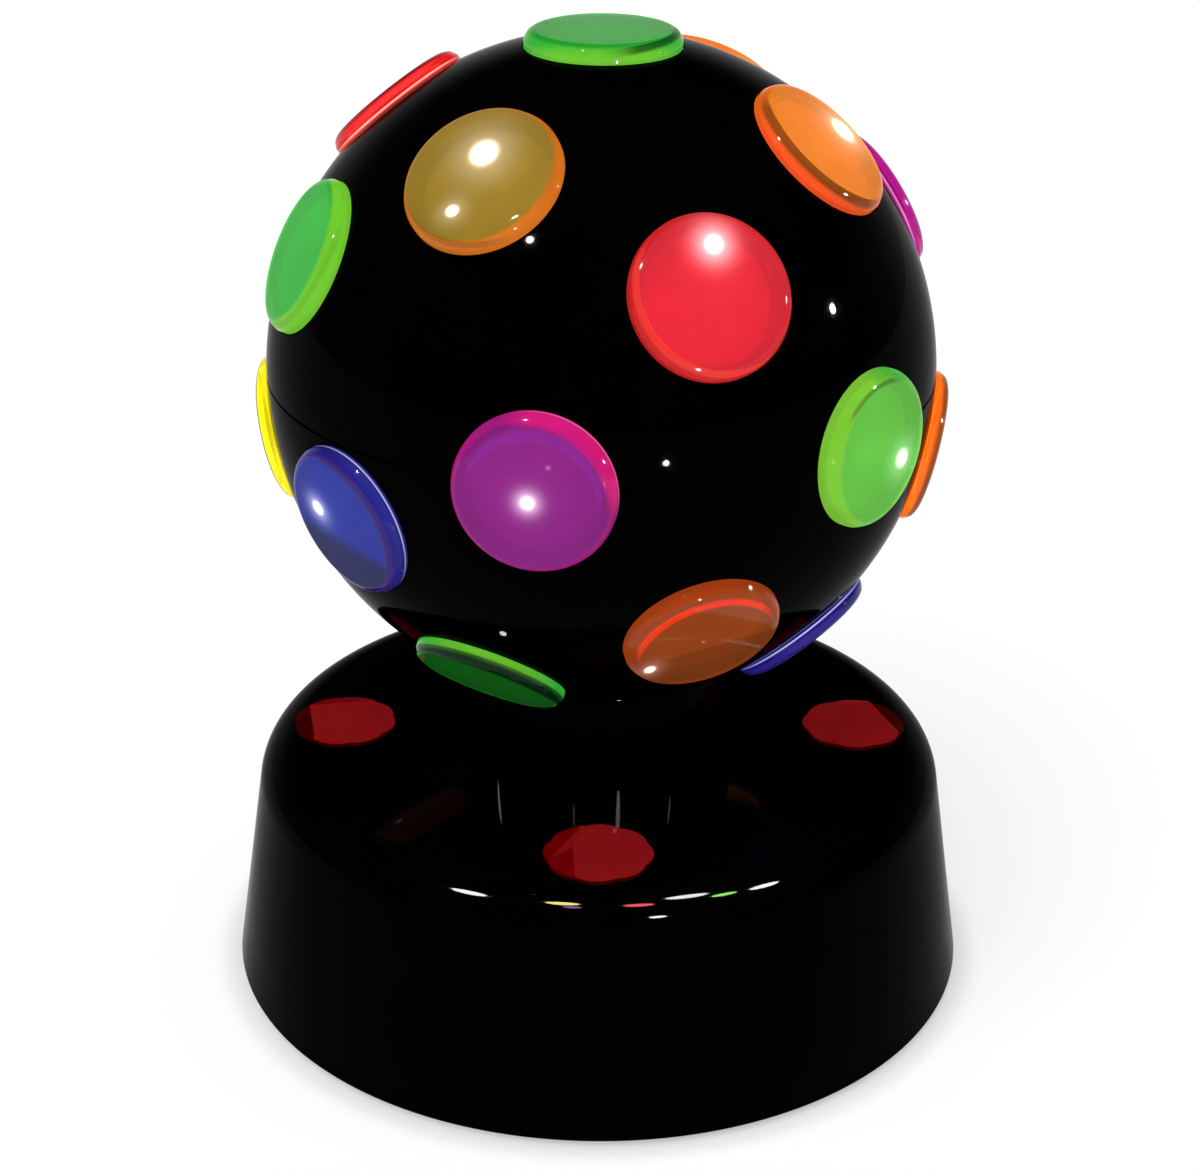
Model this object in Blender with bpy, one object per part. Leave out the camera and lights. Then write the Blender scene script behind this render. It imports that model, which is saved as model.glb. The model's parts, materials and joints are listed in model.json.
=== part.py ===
"""Rotating disco lamp: a ball full of coloured lenses that turns on a drum-shaped base.

Metres, +Z up.  The origin lies on the table, under the middle of the base, and the front of the lamp
faces -Y.  The ball, its neck and the drive gear turn about +Z, driven by a motor under the gear deck.
"""
import math

import bmesh
import bpy
import numpy as np
from mathutils import Matrix, Vector

# Clearances
FIT = 0.0003                     # between two pieces that are fixed to each other
RUN = 0.0005                     # between a turning piece and one that stands still
OVERRUN = 0.003                  # how far a cutter passes the surface that it cuts
MERGE = 0.000002                 # points closer than this after a cut are one point

# Base: a tapered drum with a rounded shoulder and a flat top
BASE_RIM_RADIUS = 0.0705
BASE_TOP_RADIUS = 0.06385        # where the side and the top would meet without the shoulder
BASE_HEIGHT = 0.0448
BASE_SHOULDER = 0.0085
BASE_WALL = 0.0024
BOSS_RADIUS = 0.0045
BOSS_EDGE = 0.0015               # how far the screw bosses stand inside the start of the shoulder

# Base plate, feet and screws
PLATE_RECESS = 0.0010            # the plate's underside lies this far above the rim
PLATE_THICKNESS = 0.0022
FOOT_STANDOUT = 0.0010           # the feet hold the rim this far above the table
FOOT_RADIUS = 0.0060
FOOT_EDGE = 0.0050               # from the rim of a foot to the edge of the plate
FOOT_CHAMFER = 0.0004
SCREW_RADIUS = 0.0014
SCREW_HEAD_RADIUS = 0.0028
SCREW_HEAD_HEIGHT = 0.0018
SCREW_GRIP = 0.0050              # how far a screw runs up into its boss
SCREW_LEAD = 0.0010              # empty depth above the screw's tip

# Battery tray and its door
CELL_LENGTH = 0.0505             # over the button
CELL_RADIUS = 0.00725
CELL_BUTTON_RADIUS = 0.0027
CELL_BUTTON_HEIGHT = 0.0010
CELL_SPACING = 0.0005
CONTACT_THICKNESS = 0.0008
CONTACT_HEIGHT = 0.0120
TRAY_WALL = 0.0016
TRAY_MIDDLE_Y = -0.0120
DOOR_GAP = 0.0004
DOOR_KNUCKLE = 0.0020            # radius of the round bead on the hinge line
DOOR_PIN_RADIUS = 0.0010
DOOR_PIN_LENGTH = 0.0018
DOOR_EAR_WALL = 0.0024
DOOR_EAR_MARGIN = 0.0010         # material round the pin's hole, past the bead

# Neck, bearing collar and thrust washer
NECK_RADIUS = 0.0242
NECK_WALL = 0.0022
NECK_WEB = 0.0022
RETAINER_WIDTH = 0.0033          # the flange that keeps the neck from lifting out
RETAINER_THICKNESS = 0.0025
COLLAR_WALL = 0.0020
COLLAR_HEIGHT = 0.0120
WASHER_WIDTH = 0.0050
WASHER_THICKNESS = 0.0010
DECK_THICKNESS = 0.0024

# Gears and motor
GEAR_MODULE = 0.00125
GEAR_HEIGHT = 0.0050
GEAR_PLAY = 0.00035              # backlash at the pitch circle
GEAR_EXTRA_DISTANCE = 0.0001
MOTOR_RADIUS = 0.0130
MOTOR_LENGTH = 0.0180
MOTOR_BOSS_RADIUS = 0.0035
MOTOR_BOSS_HEIGHT = 0.0020
SHAFT_RADIUS = 0.0015
SHAFT_STANDOUT = 0.0010          # above the pinion

# Ball
BALL_RADIUS = 0.0600
BALL_WALL = 0.0024
BALL_CLEARANCE = 0.0135          # from the base's top to the lowest point of the round ball
SEAM_HEIGHT = 0.0012             # the halves meet just above the middle
TONGUE_HEIGHT = 0.0016
FLOOR_BORE = 0.0160              # opening in the ball's floor for the lamp post

# Lenses
LENS_RADIUS = 0.0137
LENS_SEAT_DEPTH = 0.00045
LENS_LIP_HEIGHT = 0.0013
LENS_SHOULDER_HEIGHT = 0.0012
LENS_SHOULDER_INSET = 0.0006
LENS_CROWN_HEIGHT = 0.0007
LENS_CROWN_INSET = 0.0011
LENS_FLANGE_WIDTH = 0.0027
LENS_SPIGOT_DEPTH = 0.0019

# Lamp inside the ball
POST_RADIUS = 0.0070
POST_WALL = 0.0020
POST_FOOT_RADIUS = 0.0120
POST_FOOT_THICKNESS = 0.0020
LED_BOARD_RADIUS = 0.0140
LED_BOARD_THICKNESS = 0.0016
LED_BOARD_DROP = 0.0035          # the board's top lies this far below the ball's middle
LED_RADIUS = 0.0025
LED_HEIGHT = 0.0030              # straight part below the dome
LED_RING = 0.0070

# Jewels on the base
JEWEL_RADIUS = 0.00975
JEWEL_SETBACK = 0.0077           # from the ring of jewels out to the start of the shoulder
JEWEL_GIRDLE = 0.0009
JEWEL_CROWN = 0.0016
JEWEL_PEG_RADIUS = 0.0030
JEWEL_PEG_STANDOUT = 0.0008      # below the underside of the base's top

# Slide switch in the rear wall
SWITCH_HEIGHT = 0.0110           # its middle above the rim
SWITCH_TRAVEL = 0.0040
KNOB_WIDTH = 0.0050
KNOB_HEIGHT = 0.0030
KNOB_STANDOUT = 0.0014
SWITCH_DEPTH = 0.0060
SWITCH_WALL = 0.0020
SWITCH_POCKET = 0.0030

# Driver board on the plate
BOARD_LENGTH = 0.0260
BOARD_WIDTH = 0.0180
BOARD_THICKNESS = 0.0016
BOARD_REST_HEIGHT = 0.0020
BOARD_REST_WIDTH = 0.0030
BOARD_CLEARANCE = 0.0040         # from the battery tray's wall

# Counts, angles in degrees and shares
GEAR_TEETH = 48
PINION_TEETH = 12
ADDENDUM_SHARE = 0.85
DEDENDUM_SHARE = 1.25
PRESSURE_ANGLE = 20.0
CELLS = 3
MOTOR_ANGLE = 45.0
BOSS_ANGLES = (15.0, 135.0, 255.0)
FOOT_ANGLES = (60.0, 150.0, 240.0, 330.0)
LED_ANGLES = (90.0, 210.0, 330.0)
JEWEL_ANGLES = {"front": 270.0, "right": 0.0, "back": 90.0, "left": 180.0}
JEWEL_SIDES = 12
LED_DOME_STEPS = 3
JEWEL_TABLE_SHARE = 0.72
LENS_TURN = 19.66                # how far the middle row of lenses is turned from the front towards +X
LENS_ROW_TILT = 30.0             # from the middle row to the rows beside it
LENS_CAP_ANGLE = 26.4            # from the sideways axis to the three lenses round it
LENS_SIDES = 16
BALL_SIDES = 36
BALL_BANDS = 8                   # steps from the seam to the pole outside
BALL_INNER_BANDS = 5
BASE_SIDES = 48
SHOULDER_STEPS = 5
ROUND_SIDES = 32
MEDIUM_SIDES = 18
SMALL_SIDES = 12
SHARP_ANGLE = 34.0
HALF_SHARE = 0.5

# The colour of each lens: row, then how many degrees the row has gone round from the top
LENS_COLOURS = {
    "middle": {0: "green", 60: "red", 120: "orange", 240: "purple", 300: "blue"},
    "left": {30: "amber", 90: "purple", 150: "green", 210: "red", 270: "orange", 330: "red"},
    "right": {30: "orange", 90: "green", 150: "blue", 210: "amber", 270: "red", 330: "orange"},
    "left_cap": {0: "green", 120: "blue", 240: "yellow"},
    "right_cap": {0: "purple", 120: "orange", 240: "green"},
}

# Heights that follow from the sizes above
rim_z = FOOT_STANDOUT
top_z = rim_z + BASE_HEIGHT
underside_z = top_z - BASE_WALL
plate_bottom = rim_z + PLATE_RECESS
plate_top = plate_bottom + PLATE_THICKNESS
ball_z = top_z + BALL_CLEARANCE + BALL_RADIUS
retainer_top = underside_z - RUN
retainer_bottom = retainer_top - RETAINER_THICKNESS
gear_top = retainer_bottom - FIT
gear_bottom = gear_top - GEAR_HEIGHT
washer_top = gear_bottom - FIT
washer_bottom = washer_top - WASHER_THICKNESS
deck_top = washer_bottom - FIT
deck_bottom = deck_top - DECK_THICKNESS

# Radii and places that follow from them
neck_bore = NECK_RADIUS - NECK_WALL
collar_radius = neck_bore - RUN
collar_bore = collar_radius - COLLAR_WALL
base_lean = math.atan2(BASE_RIM_RADIUS - BASE_TOP_RADIUS, BASE_HEIGHT)
shoulder_height = BASE_HEIGHT - BASE_SHOULDER
ball_bore = BALL_RADIUS - BALL_WALL
floor_height = -math.sqrt(BALL_RADIUS ** 2 - NECK_RADIUS ** 2)
centre_distance = (GEAR_TEETH + PINION_TEETH) * GEAR_MODULE / 2 + GEAR_EXTRA_DISTANCE
motor_x = centre_distance * math.cos(math.radians(MOTOR_ANGLE))
motor_y = centre_distance * math.sin(math.radians(MOTOR_ANGLE))
tray_half_x = CELL_LENGTH / 2 + FIT + CONTACT_THICKNESS + FIT
tray_half_y = (CELLS * 2 * CELL_RADIUS + (CELLS + 1) * CELL_SPACING) / 2
cell_z = plate_top + FIT + CELL_RADIUS
tray_roof = cell_z + CELL_RADIUS + CELL_SPACING
hinge_x = -tray_half_x - TRAY_WALL - DOOR_GAP - DOOR_KNUCKLE
hinge_z = plate_bottom + DOOR_KNUCKLE
switch_z = rim_z + SWITCH_HEIGHT
board_x = -BOSS_RADIUS - BOARD_LENGTH / 2
board_y = TRAY_MIDDLE_Y + tray_half_y + TRAY_WALL + BOARD_CLEARANCE + BOARD_WIDTH / 2


def drum_radius(height, inset):
    """Radius of the drum's side at a height above the rim, moved in by inset."""
    return BASE_RIM_RADIUS - height * math.tan(base_lean) - inset / math.cos(base_lean)


flat_radius = drum_radius(shoulder_height, BASE_SHOULDER)
boss_ring = flat_radius - BOSS_EDGE
jewel_ring = flat_radius - JEWEL_SETBACK
deck_radius = drum_radius(deck_top - rim_z, BASE_WALL) - FIT
plate_radius = drum_radius(plate_top - rim_z, BASE_WALL) - FIT
foot_ring = plate_radius - FOOT_EDGE - FOOT_RADIUS

# Lens heights along the lens's own axis, from the ball's middle
seat_radius = LENS_RADIUS + FIT
seat_floor = math.sqrt(BALL_RADIUS ** 2 - seat_radius ** 2) - LENS_SEAT_DEPTH
lens_bottom = seat_floor + FIT
spigot_radius = LENS_RADIUS - LENS_FLANGE_WIDTH


def clear_scene():
    for old in list(bpy.data.objects):
        bpy.data.objects.remove(old, do_unlink=True)


def finish(name, red, green, blue, roughness, metallic=0.0, transmission=0.0):
    """A Principled material with the piece's colour, roughness and metallic value."""
    material = bpy.data.materials.new(name)
    material.use_nodes = True
    shader = material.node_tree.nodes["Principled BSDF"]
    shader.inputs["Base Color"].default_value = (red, green, blue, 1.0)
    shader.inputs["Roughness"].default_value = roughness
    shader.inputs["Metallic"].default_value = metallic
    shader.inputs["Transmission Weight"].default_value = transmission
    material.diffuse_color = (red, green, blue, 1.0)
    return material


def mesh_from(name, points, faces):
    mesh = bpy.data.meshes.new(name)
    mesh.from_pydata([tuple(point) for point in points], [], faces)
    mesh.validate()
    mesh.update()
    return mesh


def turned(name, outline, sides, offset=0.0):
    """Turns an outline of (radius, height) points, listed anticlockwise, about the Z axis.

    The offset is a share of one side by which the corners are turned, which keeps a large
    piece's edges off the middles of its holes.
    """
    points, rings, faces = [], [], []
    for radius, height in outline:
        if radius <= 0.0:
            rings.append([len(points)] * sides)
            points.append((0.0, 0.0, height))
            continue
        rings.append(list(range(len(points), len(points) + sides)))
        for step in range(sides):
            angle = math.tau * (step + offset) / sides
            points.append((radius * math.cos(angle), radius * math.sin(angle), height))
    for lower, upper in zip(rings, rings[1:] + rings[:1]):
        if lower[0] == lower[1] and upper[0] == upper[1]:
            continue
        for step in range(sides):
            after = (step + 1) % sides
            corners = (lower[step], lower[after], upper[after], upper[step])
            faces.append(tuple(dict.fromkeys(corners)))
    return mesh_from(name, points, faces)


def rod(name, radius, bottom, top, sides=SMALL_SIDES):
    return turned(name, [(0.0, bottom), (radius, bottom), (radius, top), (0.0, top)], sides)


def block(name, low, high):
    """A box from its lowest corner to its highest corner."""
    corners = [(x, y, z) for z in (low[2], high[2]) for y in (low[1], high[1]) for x in (low[0], high[0])]
    faces = [(0, 2, 3, 1), (4, 5, 7, 6), (0, 1, 5, 4), (2, 6, 7, 3), (0, 4, 6, 2), (1, 3, 7, 5)]
    return mesh_from(name, corners, faces)


def arc(centre_radius, centre_height, radius, start, end, steps):
    """Points of (radius, height) on an arc, its angles in radians from the outward direction."""
    turns = [start + (end - start) * step / steps for step in range(steps + 1)]
    return [(centre_radius + radius * math.cos(turn), centre_height + radius * math.sin(turn))
            for turn in turns]


def moved(mesh, matrix):
    mesh.transform(matrix)
    return mesh


def copies(name, mesh, matrices):
    """One mesh that holds a copy of the given mesh at each matrix."""
    points = np.array([tuple(vertex.co) for vertex in mesh.vertices])
    count = len(points)
    all_points, all_faces = [], []
    for number, matrix in enumerate(matrices):
        placed = points @ np.array(matrix.to_3x3()).T + np.array(matrix.translation)
        all_points.extend(placed.tolist())
        all_faces.extend(tuple(index + number * count for index in face.vertices) for face in mesh.polygons)
    return mesh_from(name, all_points, all_faces)


def combined(base, others, operation):
    """The mesh that is left when the others are joined to the base or cut from it."""
    body = bpy.data.objects.new("body", base)
    bpy.context.scene.collection.objects.link(body)
    tools = []
    for number, other in enumerate(others):
        tool = bpy.data.objects.new(f"tool_{number}", other)
        bpy.context.scene.collection.objects.link(tool)
        change = body.modifiers.new(tool.name, "BOOLEAN")
        change.operation = operation
        change.solver = "EXACT"
        change.object = tool
        tools.append(tool)
    bpy.context.view_layer.update()
    evaluated = body.evaluated_get(bpy.context.evaluated_depsgraph_get())
    result = bpy.data.meshes.new_from_object(evaluated)
    for used in [body] + tools:
        bpy.data.objects.remove(used, do_unlink=True)
    work = bmesh.new()
    work.from_mesh(result)
    bmesh.ops.remove_doubles(work, verts=work.verts, dist=MERGE)
    work.to_mesh(result)
    work.free()
    return result


def joined(base, others):
    return combined(base, others, "UNION")


def cut(base, others):
    return combined(base, others, "DIFFERENCE")


def piece(name, mesh, material, parent=None, place=(0.0, 0.0, 0.0), rotation=None):
    """A finished piece as an object of its own, smooth where it is round."""
    made = bpy.data.objects.new(name, mesh)
    bpy.context.scene.collection.objects.link(made)
    mesh.shade_smooth()
    mesh.set_sharp_from_angle(angle=math.radians(SHARP_ANGLE))
    if not mesh.materials:
        mesh.materials.append(material)
    for slot in made.material_slots:
        slot.link = "OBJECT"
        slot.material = material
    made.location = place
    if rotation is not None:
        made.rotation_mode = "QUATERNION"
        made.rotation_quaternion = rotation
    made.parent = parent
    return made


def axis_empty(name, place):
    """An empty on a joint's axis, which the pieces that move about it hang on."""
    empty = bpy.data.objects.new(name, None)
    bpy.context.scene.collection.objects.link(empty)
    empty.location = place
    return empty


def round_place(radius, degrees, height=0.0):
    angle = math.radians(degrees)
    return Vector((radius * math.cos(angle), radius * math.sin(angle), height))


def drum_outline(inset):
    """The drum's side and shoulder from the rim up to the flat top, moved in by inset."""
    bend = max(BASE_SHOULDER - inset, FIT)
    shoulder = arc(flat_radius, rim_z + shoulder_height, bend, base_lean, math.pi / 2, SHOULDER_STEPS)
    return [(drum_radius(0.0, inset), rim_z)] + shoulder


def build_base_shell(black):
    opening = NECK_RADIUS + RUN
    outside = drum_outline(0.0)
    inside = drum_outline(BASE_WALL)
    outline = outside + [(opening, top_z), (opening, underside_z)] + inside[::-1]
    shell = turned("base_shell", outline, BASE_SIDES, HALF_SHARE)
    bosses = [moved(rod("boss", BOSS_RADIUS, deck_top + FIT, top_z - BASE_WALL / 2),
                    Matrix.Translation(round_place(boss_ring, angle))) for angle in BOSS_ANGLES]
    shell = joined(shell, bosses)
    hole_end = deck_top + SCREW_GRIP + SCREW_LEAD
    holes = [moved(rod("screw_hole", SCREW_RADIUS + FIT, deck_top - OVERRUN, hole_end),
                   Matrix.Translation(round_place(boss_ring, angle))) for angle in BOSS_ANGLES]
    holes += [moved(rod("peg_hole", JEWEL_PEG_RADIUS + FIT, underside_z - OVERRUN, top_z + OVERRUN),
                    Matrix.Translation(round_place(jewel_ring, angle))) for angle in JEWEL_ANGLES.values()]
    slot_half = (KNOB_WIDTH + SWITCH_TRAVEL) / 2 + RUN
    slot_high = KNOB_HEIGHT / 2 + RUN
    wall_y = drum_radius(SWITCH_HEIGHT, 0.0)
    holes.append(block("switch_slot", (-slot_half, wall_y - BASE_WALL - OVERRUN, switch_z - slot_high),
                       (slot_half, wall_y + OVERRUN, switch_z + slot_high)))
    return piece("base_shell", cut(shell, holes), black)


def build_base_plate(plastic):
    """The plate that closes the base, with the battery tray, screw pillars and hinge ears on it."""
    outline = [(0.0, plate_bottom), (plate_radius, plate_bottom), (plate_radius, plate_top), (0.0, plate_top)]
    plate = turned("base_plate", outline, BASE_SIDES, HALF_SHARE)
    tray = block("tray", (-tray_half_x - TRAY_WALL, TRAY_MIDDLE_Y - tray_half_y - TRAY_WALL, plate_top - FIT),
                 (tray_half_x + TRAY_WALL, TRAY_MIDDLE_Y + tray_half_y + TRAY_WALL, tray_roof + TRAY_WALL))
    added = [tray]
    for angle in BOSS_ANGLES:
        pillar = rod("pillar", BOSS_RADIUS, plate_top - FIT, deck_bottom - FIT)
        added.append(moved(pillar, Matrix.Translation(round_place(boss_ring, angle))))
    ear_half = DOOR_KNUCKLE + DOOR_EAR_MARGIN
    for side in (-1, 1):
        near = TRAY_MIDDLE_Y + side * tray_half_y
        far = near + side * DOOR_EAR_WALL
        added.append(block("ear", (hinge_x - ear_half, min(near, far), plate_bottom),
                           (hinge_x + ear_half, max(near, far), hinge_z + ear_half)))
    for x in (board_x - BOARD_LENGTH / 2, board_x + BOARD_LENGTH / 2 - BOARD_REST_WIDTH):
        added.append(block("rest", (x, board_y - BOARD_WIDTH / 2, plate_top - FIT),
                           (x + BOARD_REST_WIDTH, board_y + BOARD_WIDTH / 2, plate_top + BOARD_REST_HEIGHT)))
    plate = joined(plate, added)
    removed = [block("cell_room", (-tray_half_x, TRAY_MIDDLE_Y - tray_half_y, plate_bottom - OVERRUN),
                     (tray_half_x, TRAY_MIDDLE_Y + tray_half_y, tray_roof)),
               block("door_room", (hinge_x - DOOR_KNUCKLE - DOOR_GAP, TRAY_MIDDLE_Y - tray_half_y,
                                   plate_bottom - OVERRUN),
                     (tray_half_x, TRAY_MIDDLE_Y + tray_half_y, plate_top))]
    pin_reach = tray_half_y + DOOR_EAR_WALL + OVERRUN
    pin_hole = rod("pin_hole", DOOR_PIN_RADIUS + FIT, -pin_reach, pin_reach)
    removed.append(moved(pin_hole, Matrix.Translation((hinge_x, TRAY_MIDDLE_Y, hinge_z))
                         @ Matrix.Rotation(math.pi / 2, 4, "X")))
    head_room = plate_bottom + SCREW_HEAD_HEIGHT + FIT
    head_bore, shank_bore = SCREW_HEAD_RADIUS + FIT, SCREW_RADIUS + FIT
    outline = [(0.0, plate_bottom - OVERRUN), (head_bore, plate_bottom - OVERRUN), (head_bore, head_room),
               (shank_bore, head_room), (shank_bore, deck_bottom + OVERRUN), (0.0, deck_bottom + OVERRUN)]
    for angle in BOSS_ANGLES:
        hole = turned("screw_room", outline, SMALL_SIDES)
        removed.append(moved(hole, Matrix.Translation(round_place(boss_ring, angle))))
    return piece("base_plate", cut(plate, removed), plastic)


def build_battery_door(plastic, axis):
    """The door with a round bead on the hinge line and a pin at each end of the bead."""
    half = tray_half_y - DOOR_GAP
    turn = Matrix.Rotation(math.pi / 2, 4, "X")
    slab = block("battery_door", (0.0, -half, -DOOR_KNUCKLE),
                 (tray_half_x - DOOR_GAP - hinge_x, half, PLATE_THICKNESS - DOOR_KNUCKLE - FIT))
    bead = moved(rod("bead", DOOR_KNUCKLE, -half, half, MEDIUM_SIDES), turn)
    pin_half = half + DOOR_GAP + DOOR_PIN_LENGTH
    pin = moved(rod("pin", DOOR_PIN_RADIUS, -pin_half, pin_half), turn)
    return piece("battery_door", joined(slab, [bead, pin]), plastic, axis)


def build_cells(wrap, brass):
    """Cells side by side in the tray, turned end for end one after another, and their contact plates."""
    straight = CELL_LENGTH - CELL_BUTTON_HEIGHT
    outline = [(0.0, -CELL_LENGTH / 2), (CELL_RADIUS, -CELL_LENGTH / 2),
               (CELL_RADIUS, straight - CELL_LENGTH / 2), (CELL_BUTTON_RADIUS, straight - CELL_LENGTH / 2),
               (CELL_BUTTON_RADIUS, CELL_LENGTH / 2), (0.0, CELL_LENGTH / 2)]
    cell = turned("aa_cell", outline, MEDIUM_SIDES)
    pitch = 2 * CELL_RADIUS + CELL_SPACING
    for number in range(CELLS):
        y = TRAY_MIDDLE_Y + (number - (CELLS - 1) / 2) * pitch
        quarter = math.pi / 2 if number % 2 else -math.pi / 2
        turn = Matrix.Rotation(quarter, 3, "Y").to_quaternion()
        piece(f"aa_cell_{number + 1}", cell, wrap, None, (0.0, y, cell_z), turn)
    half = tray_half_y - CELL_SPACING
    inner = CELL_LENGTH / 2 + FIT
    low = plate_top + FIT
    for name, side in (("left", -1), ("right", 1)):
        ends = sorted((side * inner, side * (inner + CONTACT_THICKNESS)))
        mesh = block("contact", (ends[0], TRAY_MIDDLE_Y - half, low),
                     (ends[1], TRAY_MIDDLE_Y + half, low + CONTACT_HEIGHT))
        piece(f"contact_plate_{name}", mesh, brass)


def build_feet_and_screws(rubber, steel):
    foot_top = plate_bottom - FIT
    outline = [(0.0, 0.0), (FOOT_RADIUS - FOOT_CHAMFER, 0.0), (FOOT_RADIUS, FOOT_CHAMFER),
               (FOOT_RADIUS, foot_top), (0.0, foot_top)]
    foot = turned("rubber_foot", outline, MEDIUM_SIDES)
    for number, angle in enumerate(FOOT_ANGLES):
        piece(f"rubber_foot_{number + 1}", foot, rubber, None, round_place(foot_ring, angle))
    tip = deck_top + SCREW_GRIP
    head_top = plate_bottom + SCREW_HEAD_HEIGHT
    outline = [(0.0, plate_bottom), (SCREW_HEAD_RADIUS, plate_bottom), (SCREW_HEAD_RADIUS, head_top),
               (SCREW_RADIUS, head_top), (SCREW_RADIUS, tip), (0.0, tip)]
    screw = turned("plate_screw", outline, SMALL_SIDES)
    for number, angle in enumerate(BOSS_ANGLES):
        piece(f"plate_screw_{number + 1}", screw, steel, None, round_place(boss_ring, angle))


def build_gear_deck(plastic):
    """The deck that carries the motor, the lamp post and the collar that the neck turns on."""
    wire_hole = POST_RADIUS - POST_WALL
    collar_top = deck_top + COLLAR_HEIGHT
    outline = [(wire_hole, deck_bottom), (deck_radius, deck_bottom), (deck_radius, deck_top),
               (collar_radius, deck_top), (collar_radius, collar_top), (collar_bore, collar_top),
               (collar_bore, deck_top), (wire_hole, deck_top)]
    deck = turned("gear_deck", outline, BASE_SIDES, HALF_SHARE)
    holes = [moved(rod("motor_hole", MOTOR_BOSS_RADIUS + FIT, deck_bottom - OVERRUN, deck_top + OVERRUN),
                   Matrix.Translation((motor_x, motor_y, 0.0)))]
    holes += [moved(rod("screw_hole", SCREW_RADIUS + FIT, deck_bottom - OVERRUN, deck_top + OVERRUN),
                    Matrix.Translation(round_place(boss_ring, angle))) for angle in BOSS_ANGLES]
    return piece("gear_deck", cut(deck, holes), plastic)


def build_thrust_washer(white):
    inner = collar_radius + FIT
    outer = inner + WASHER_WIDTH
    outline = [(inner, washer_bottom), (outer, washer_bottom), (outer, washer_top), (inner, washer_top)]
    return piece("thrust_washer", turned("thrust_washer", outline, ROUND_SIDES), white)


def tooth_half_angle(radius, teeth):
    """Half the angle that a tooth spans at a radius, on an involute thinned by the play."""
    pitch_radius = teeth * GEAR_MODULE / 2
    pressure = math.radians(PRESSURE_ANGLE)
    base_radius = pitch_radius * math.cos(pressure)
    roll = math.acos(min(1.0, base_radius / max(radius, base_radius)))
    flank = math.tan(pressure) - pressure - math.tan(roll) + roll
    return math.pi / (2 * teeth) + flank - GEAR_PLAY / (2 * pitch_radius)


def gear(name, teeth, bore, bottom, top, phase):
    """A gear with straight-sided teeth; its first tooth points at the phase angle."""
    pitch_radius = teeth * GEAR_MODULE / 2
    tip = pitch_radius + ADDENDUM_SHARE * GEAR_MODULE
    root = pitch_radius - DEDENDUM_SHARE * GEAR_MODULE
    tip_half = tooth_half_angle(tip, teeth)
    root_half = tooth_half_angle(root, teeth)
    points, faces = [], []
    per_tooth = 5
    level = per_tooth * teeth
    for height in (bottom, top):
        for number in range(teeth):
            middle = phase + math.tau * number / teeth
            spots = ((root, middle - root_half), (tip, middle - tip_half), (tip, middle + tip_half),
                     (root, middle + root_half), (bore, middle + math.pi / teeth))
            points += [(radius * math.cos(angle), radius * math.sin(angle), height)
                       for radius, angle in spots]
    for number in range(teeth):
        start = per_tooth * number
        last_bore = (start - 1) % level
        next_root = (start + per_tooth) % level
        rise, fall, crest, end, hole = (start, start + 1, start + 2, start + 3, start + 4)
        for face in ((last_bore, rise, fall, crest, end, hole), (hole, end, next_root)):
            faces.append(tuple(index + level for index in face))
            faces.append(tuple(reversed(face)))
        for one, other in ((rise, fall), (fall, crest), (crest, end), (end, next_root), (hole, last_bore)):
            faces.append((one, other, other + level, one + level))
    return mesh_from(name, points, faces)


def build_drive(white, steel, motor_metal, ball_axis, pinion_axis):
    """The drive gear on the neck, the motor under the deck, and the shaft and pinion that it turns."""
    line = math.radians(MOTOR_ANGLE)
    wheel = gear("drive_gear", GEAR_TEETH, NECK_RADIUS + FIT, gear_bottom - ball_z, gear_top - ball_z, line)
    piece("drive_gear", wheel, white, ball_axis)
    phase = line + math.pi + math.pi / PINION_TEETH
    pinion = gear("motor_pinion", PINION_TEETH, SHAFT_RADIUS + FIT, 0.0, GEAR_HEIGHT, phase)
    piece("motor_pinion", pinion, white, pinion_axis)
    motor_top = deck_bottom - FIT
    boss_top = motor_top + MOTOR_BOSS_HEIGHT
    shaft = rod("motor_shaft", SHAFT_RADIUS, boss_top + FIT - gear_bottom, GEAR_HEIGHT + SHAFT_STANDOUT)
    piece("motor_shaft", shaft, steel, pinion_axis)
    outline = [(0.0, motor_top - MOTOR_LENGTH), (MOTOR_RADIUS, motor_top - MOTOR_LENGTH),
               (MOTOR_RADIUS, motor_top), (MOTOR_BOSS_RADIUS, motor_top), (MOTOR_BOSS_RADIUS, boss_top),
               (0.0, boss_top)]
    motor = turned("gear_motor", outline, MEDIUM_SIDES)
    piece("gear_motor", motor, motor_metal, None, (motor_x, motor_y, 0.0))


def build_neck(black, ball_axis):
    """The neck: a sleeve on the collar, with a flange under the base's top and a web under the ball."""
    head = floor_height - FIT
    web_bore = FLOOR_BORE + FIT
    flange = NECK_RADIUS + RETAINER_WIDTH
    outline = [(neck_bore, gear_bottom - ball_z), (NECK_RADIUS, gear_bottom - ball_z),
               (NECK_RADIUS, retainer_bottom - ball_z), (flange, retainer_bottom - ball_z),
               (flange, retainer_top - ball_z), (NECK_RADIUS, retainer_top - ball_z), (NECK_RADIUS, head),
               (web_bore, head), (web_bore, head - NECK_WEB), (neck_bore, head - NECK_WEB)]
    return piece("neck_hub", turned("neck_hub", outline, ROUND_SIDES), black, ball_axis)


def sphere_arc(radius, start_height, end_height, steps):
    """Points on a circle round the ball's middle between two heights, at even angles."""
    start = math.asin(max(-1.0, min(1.0, start_height / radius)))
    end = math.asin(max(-1.0, min(1.0, end_height / radius)))
    return arc(0.0, 0.0, radius, start, end, steps)


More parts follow.
